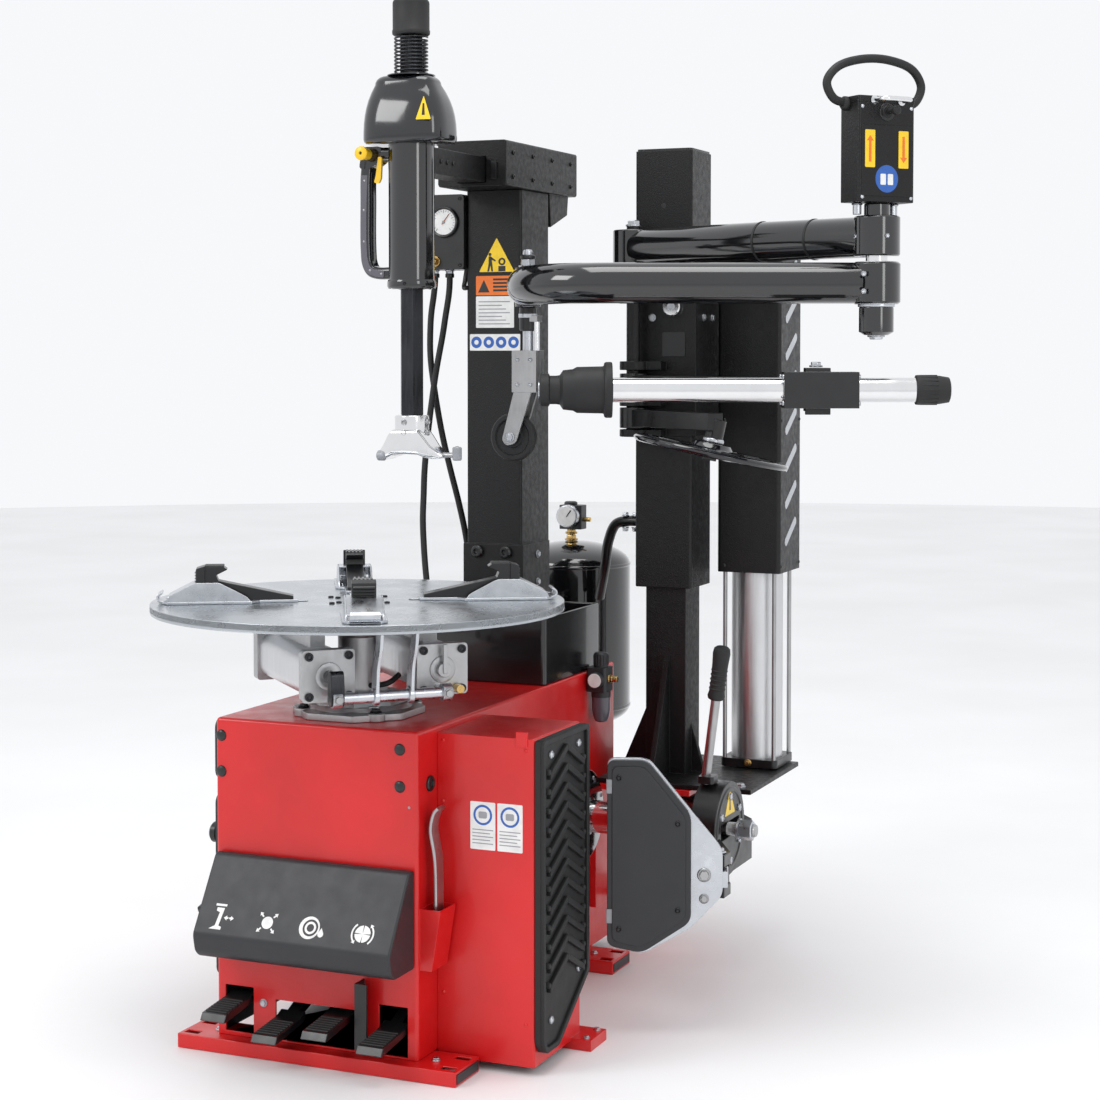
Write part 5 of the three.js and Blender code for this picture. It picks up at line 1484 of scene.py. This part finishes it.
def press_tool():
    spot = pivot("press_swivel")
    x, y = spot.x, spot.y
    wheel = pivot("roller_spin")
    b = Build()
    b.lathe("z", [(8, 1196), (10, 1200), (10, 1454), (8, 1459)], (x, y), 36, 0)
    b.bolt((x, y, FORE_Z + TUBE + 0.6), (0, 0, 1), 30, 0, "hex", 17)
    b.lathe("z", [(15, 1441), (15, 1447), (12, 1449)], (x, y), 36, 1)
    b.lathe("z", [(15, 1300), (17, 1303), (17, 1344), (15, 1347.4)], (x, y), 44, 1)
    b.lathe("z", [(18.5, 1326), (18.5, 1334)], (x, y), 44, 0)
    b.box((x - 26, x + 26), (y - 20, y + 20), (1180, 1262), 2)
    b.rod("z", 7, (1240, 1330), (x + 18, y), 28, 3, 0.6)
    b.box((x - 4, x + 26), (y - 14, y + 14), (1318, 1330), 2)
    for side in (-1, 1):
        face = y + side * 16
        cheek = [(x - 20, 1190), (wheel.x - 18, wheel.z - 6), (wheel.x - 8, wheel.z - 17),
                 (wheel.x + 12, wheel.z - 12), (x + 18, 1190)]
        b.prism("y", fillet(cheek, 8), (face - 3, face + 3), 2)
        b.bolt((wheel.x, face + side * 3, wheel.z), (0, side, 0), 15, 0, "hex", 5)
        for dx, z in ((-14, 1196), (-14, 1244), (14, 1196), (14, 1244)):
            b.bolt((x + dx, y + side * 20, z), (0, side, 0), 8, 0, "socket", 3)
    b.rod("y", 6, (y - 19, y + 19), (wheel.x, wheel.z), 24, 0)
    piece("press_clevis", b, [ZINC, BLACK, STEEL, CHROME], "press_tool", ["press_rod"], 0.7, 2)
    b = Build()
    half = [(6.5, -9), (20, -9), (22, -6), (34, -6), (37, -9.8), (44, -9.8), (47, -7), (48, -3)]
    profile = half + [(r, -h) for r, h in reversed(half)]
    b.at = Matrix.Translation((wheel.x, y, wheel.z))
    b.lathe("y", profile, sides=72)
    piece("press_wheel", b, [RUBBER], "press_roller", ["press_roller"], 0.5)


# The centring bar's own place: its X runs along the bar and starts in the slide block.
ON_BAR = turned_by(VIEW_TURN, (766, 346, 1190))


def lower_arm():
    b = Build()
    b.cad("lower_arm")
    piece("lower_arm_beam", b, [BLACK], "lower_arm", ["lower_arm"], 1.8, 3)
    b = Build()
    hinge = pivot("block_swivel")
    b.bolt((hinge.x, hinge.y, 1232), (0, 0, 1), 20, 0, "hex", 9)
    b.cad("slide_block")
    b.paint(1, lambda centre, normal: centre.z < 1231)
    b.at = ON_BAR
    for x in (-68, 68):
        for v in (-24, 24):
            for w in (-24, 24):
                b.bolt((x, v, w), (math.copysign(1, x), 0, 0), 9, 0, "socket", 3)
    piece("slide_block_body", b, [ZINC, BLACK, RUBBER], "slide_block", ["slide_block"], 1.0, 2)


def centring_bar():
    b = Build(ON_BAR)
    b.rod("x", 22.5, (-378, 176), sides=64, use=0, edge=0.8)
    b.rod("x", 11, (-500, -373), sides=40, use=0)
    b.lathe("x", [(22, 173), (27, 175), (27.5, 181), (26, 217), (23, 235), (18, 237)], sides=64, use=1)
    for place in circle((0, 0), 26.3, 18):
        b.rod("x", 1.6, (183, 213), place, 8, 1)
    piece("centring_bar_chrome", b, [CHROME, RUBBER], "centring_bar", ["centring_bar"], 0.3)
    b = Build(ON_BAR)
    cone = [(11.5, -378.3), (49, -378.3), (51, -380), (51, -390), (49, -393), (44, -394), (43, -396),
            (42, -443), (38, -450)]
    cone += [(36, -468), (27, -474), (26, -480), (26, -492), (30, -494), (30, -508), (27, -511),
             (11.5, -511)]
    b.lathe("x", cone, sides=72, use=0)
    b.lathe("x", [(16, -513), (16, -508)], sides=40, use=1)
    piece("centring_cone_rubber", b, [RUBBER, ZINC], "centring_cone", ["centring_cone"], 0.4)


def lift_arm():
    disc = turned_by(VIEW_TURN, (502, 506, 1065)) @ turned_by(12, axis="Y")
    b = Build()
    b.cad("lift_arm")
    b.at = disc
    b.bolt((0, 0, -7.5), (0, 0, -1), 24, 1, "hex", 8)
    b.lathe("z", [(20, 19), (21, 21), (21, 26), (18.5, 28)], sides=40, use=1)
    piece("lift_arm_beam", b, [BLACK, ZINC], "lift_arm", ["lift_arm"], 1.2, 2)
    b = Build()
    rim = 153
    under = [(9, -7), (60, -7), (64, -5.5), (118, -5.5), (124, -7), (rim - 9, -7), (rim - 3, -5), (rim, -1)]
    over = [(rim, 2), (rim - 3, 5.5), (rim - 9, 7), (124, 7), (118, 5), (70, 5), (64, 7), (46, 7), (42, 9),
            (36, 17), (33, 18), (9, 18)]
    b.at = disc
    b.lathe("z", under + over, sides=120)
    for k in range(12):
        b.at = disc @ turned_by(30 * k)
        b.box((72, 116), (-2, 2), (4, 6.6))
    piece("lift_disc_rubber", b, [SHELL], "lift_disc", ["lift_disc"], 0.6)


def control_box():
    low, high = 1533, 1725
    place = turned_by(50, (ELBOW.x, ELBOW.y, 0))
    b = Build(place)
    b.prism("z", rounded((-62, -30), (62, 30), 5, 3), (low, high - 3), 0)
    b.prism("z", rounded((-63, -31), (63, 31), 5, 3), (high - 12, high), 0)
    b.box((-56, 56), (-31.2, -29), (low + 10, high - 52), 0)
    b.lathe("y", [(15, -32), (17, -31), (17, -29)], (0, high - 28), 40, 2)
    for x in (-54, 54):
        for z in (low + 8, high - 20):
            b.bolt((x, -30, z), (0, -1, 0), 7, 1, "dome", 2)
    b.lathe("z", [(19, low - 8), (21, low - 6), (21, low + 1)], (0, 0), 40, 0)
    for x in (-40, 40):
        b.rod("z", 8, (low - 22, low), (x, 6), 24, 1)
        b.bolt((x, 6, low - 2), (0, 0, -1), 16, 1, "hex", 8)
    piece("control_housing", b, [TEXTURED, ZINC, BLACK], "upper_arm", ["control_box"], 1.2, 3)
    b = Build(place)
    loop = [(-58, -12), (-90, -4), (-105, 24), (-84, 52), (-32, 70), (32, 72), (86, 56), (105, 26),
            (90, -4), (58, -12)]
    b.sweep(smooth_route([(x, 10, high + above) for x, above in loop], 9), 8, 28, 0)
    for side in (-1, 1):
        flare = sorted(((13, side * 62), (13, side * 68), (9, side * 72)), key=lambda point: point[1])
        b.lathe("x", flare, (10, high - 12), 36, 0)
    guard = fillet([(-30, -22), (-30, -66), (30, -66), (30, -22)], 12, 5)[5:-5]
    points = [(-30, -18)] + guard[1:-1] + [(30, -18)]
    b.sweep([(x, y, high - 8) for x, y in points], 4.5, 20, 1)
    for x in (-30, 30):
        b.lathe("y", [(8, -34), (8, -29)], (x, high - 8), 28, 1)
    piece("control_loop", b, [RUBBER, CHROME], "upper_arm", smooth=50)
    b = Build(place @ frontal(0, -31.2, 0))
    for x, turn in ((-38, 90), (36, -90)):
        b.prism("z", rounded((x - 11, high - 130), (x + 11, high - 62), 2), CARD, 0)
        arrow(b, (x, high - 96 - math.copysign(24, turn)), turn, 48, 7.5, 1, CARD_PRINT)
    b.prism("z", circle((-1, high - 150), 25, 48), CARD, 3)
    b.prism("z", rounded((-15, high - 161), (-3, high - 141), 2), CARD_PRINT, 4)
    b.prism("z", rounded((1, high - 161), (13, high - 141), 2), CARD_PRINT, 4)
    piece("control_labels", b, [LABEL_YELLOW, LABEL_ORANGE, LABEL_BLACK, LABEL_BLUE, LABEL_WHITE],
          "upper_arm")
    b = Build(place)
    b.rod("y", 5, (-56, -22), (0, high - 28), 28, 0)
    b.lathe("y", [(5, -65), (8, -62), (8.6, -56), (6, -50), (5, -49)], (0, high - 28), 36, 0)
    b.lathe("y", [(10, -34), (12, -31), (11, -27)], (0, high - 28), 36, 0)
    piece("control_toggle", b, [RUBBER], "control_lever", ["control_lever"], 0.3)


# ---------------------------------------------------------------- bead breaker
def breaker():
    b = Build()
    b.cad("breaker_arm")
    b.lathe("x", [(70, 551), (72, 554), (80, 554), (82, 551)], BREAKER_LINE, 72, 0, caps=False)
    for place in circle(BREAKER_LINE, 62, 6, 30):
        b.bolt((552, *place), (1, 0, 0), 13, 1, "socket", 5)
    b.bolt((350, 800, 350), (0, 0, 1), 30, 1, "hex", 12)
    b.bolt((589, 311, 331), (0, 0, 1), 18, 1, "hex", 9)
    piece("breaker_arm_cast", b, [BLACK, ZINC], "breaker_arm", ["breaker_arm"], 1.8, 3)
    b = Build(sideways(552, BREAKER_LINE[0], 0))
    b.prism("z", fillet([(-30, 366), (30, 366), (0, 416)], 3), (-0.1, 0.4), 0)
    b.prism("z", [(-4, 374), (4, 374), (2, 400), (-2, 400)], CARD_PRINT, 1)
    piece("breaker_label", b, [LABEL_YELLOW, LABEL_BLACK], "breaker_arm")
    foot, top = Vector((512, 452, 436)), Vector((550, 436, 690))
    way = (top - foot).normalized()
    b = Build()
    b.sweep([foot - way * 8, top], 9, 28, 0)
    b.prism("z", rounded((501, 434), (533, 470), 7), (430, 444), 1)
    turn = Vector((0, 0, 1)).rotation_difference(way).to_matrix().to_4x4()
    start = foot.lerp(top, 0.62)
    length = (top - start).length + 8
    b.at = Matrix.Translation(start) @ turn
    profile = [(12, 0), (15.5, 2), (17, 8), (15, 16), (14.4, 40), (15.5, 70), (17, length - 14),
               (15.5, length - 5), (11, length - 1), (5, length)]
    b.lathe("z", profile, sides=48, use=2)
    for k in range(5):
        b.lathe("z", [(15.2, 20 + 9 * k), (16.2, 22 + 9 * k), (15.2, 24 + 9 * k)], sides=48, use=2)
    piece("breaker_handle", b, [STEEL, BLACK, RUBBER], "breaker_arm", ["breaker_lever"], 0.5, 2,
          31, 50)


def blade():
    place = turned_by(20, (508, 236, 0))
    half = 106
    b = Build(place)
    plate = [(-half, 166), (-half + 66, 152), (half - 60, 200), (half, 262), (half, 348), (-30, 514),
             (-half, 514)]
    b.prism("y", fillet(plate, 14, 5), (-6, 6), 0)
    cover = [(-half, 168), (-half + 64, 155), (48, 214), (48, 412), (-32, 511), (-half, 511)]
    b.prism("y", fillet(cover, 16, 5), (-13, -5), 1)
    inner = [(-half + 9, 178), (-half + 62, 166), (38, 220), (38, 407), (-37, 500), (-half + 9, 500)]
    b.prism("y", fillet(inner, 12, 5), (-16, -12), 1)
    local = place.inverted() @ Vector((589, 311, 0))
    b.lathe("z", [(14, 274), (16, 276), (16, 304), (14, 306)], (local.x, local.y), 40, 0)
    b.box((local.x - 14, local.x + 14), (0, local.y), (275, 305), 0)
    b.bolt((72, -6, 300), (0, -1, 0), 20, 2)
    b.bolt((72, -6, 256), (0, -1, 0), 14, 2)
    for z in (210, 450):
        b.box((-half - 1.5, -half + 12), (-14.5, -3), (z, z + 26), 3)
    for x, z in ((-84, 200), (24, 236), (24, 396), (-84, 480)):
        b.bolt((x, -16, z), (0, -1, 0), 10, 1, "socket", 3)
    piece("blade_plate", b, [ZINC, PLASTIC, STEEL, LABEL_GREY], "breaker_blade", ["breaker_blade"],
          1.2, 3)


def threaded_rod():
    low, high = span("breaker_rod")
    b = Build()
    profile = [(12, low.x), (13, low.x + 1), (13, 548)]
    x = 549
    while x < high.x - 3:
        profile += [(13, x), (11.9, x + 1.2)]
        x += 2.4
    b.lathe("x", profile + [(11, high.x)], BREAKER_LINE, 36, 0)
    b.at = turned_by(90, (574, *BREAKER_LINE), "Y")
    b.lathe("z", [(21, -4), (21, 0)], sides=40, use=1)
    b.lathe("z", [(18, 0), (20, 1.5), (20, 24), (18, 26)], sides=6, use=1)
    piece("breaker_rod_thread", b, [STEEL, ZINC], "breaker_rod", ["breaker_rod"], smooth=30)


# ---------------------------------------------------------------- assembly
camera()
studio()
hose("hose_to_tray", HOSE_TO_TRAY)
hose("hose_to_cabinet", HOSE_TO_CABINET)
for make in (
    cabinet, cabinet_trim, side_wing, bead_pad, rails, pedal_icons, pedal_hood, pedals, table, spindle,
    gear_flange, jaw_cylinders, jaws, storage_tray, tire_lever, air_tank, filter_regulator, helper_base,
    lift_cylinder, bead_cylinder, column, beam, gauge_box, hose_ends, head_housing, head_hood,
    grip_handle, lock_button, tool_shaft, shaft_spring, mount_head, carriage, upper_arm, fore_arm,
    press_tool, lower_arm, centring_bar, lift_arm, control_box, breaker, blade, threaded_rod,
):
    make()
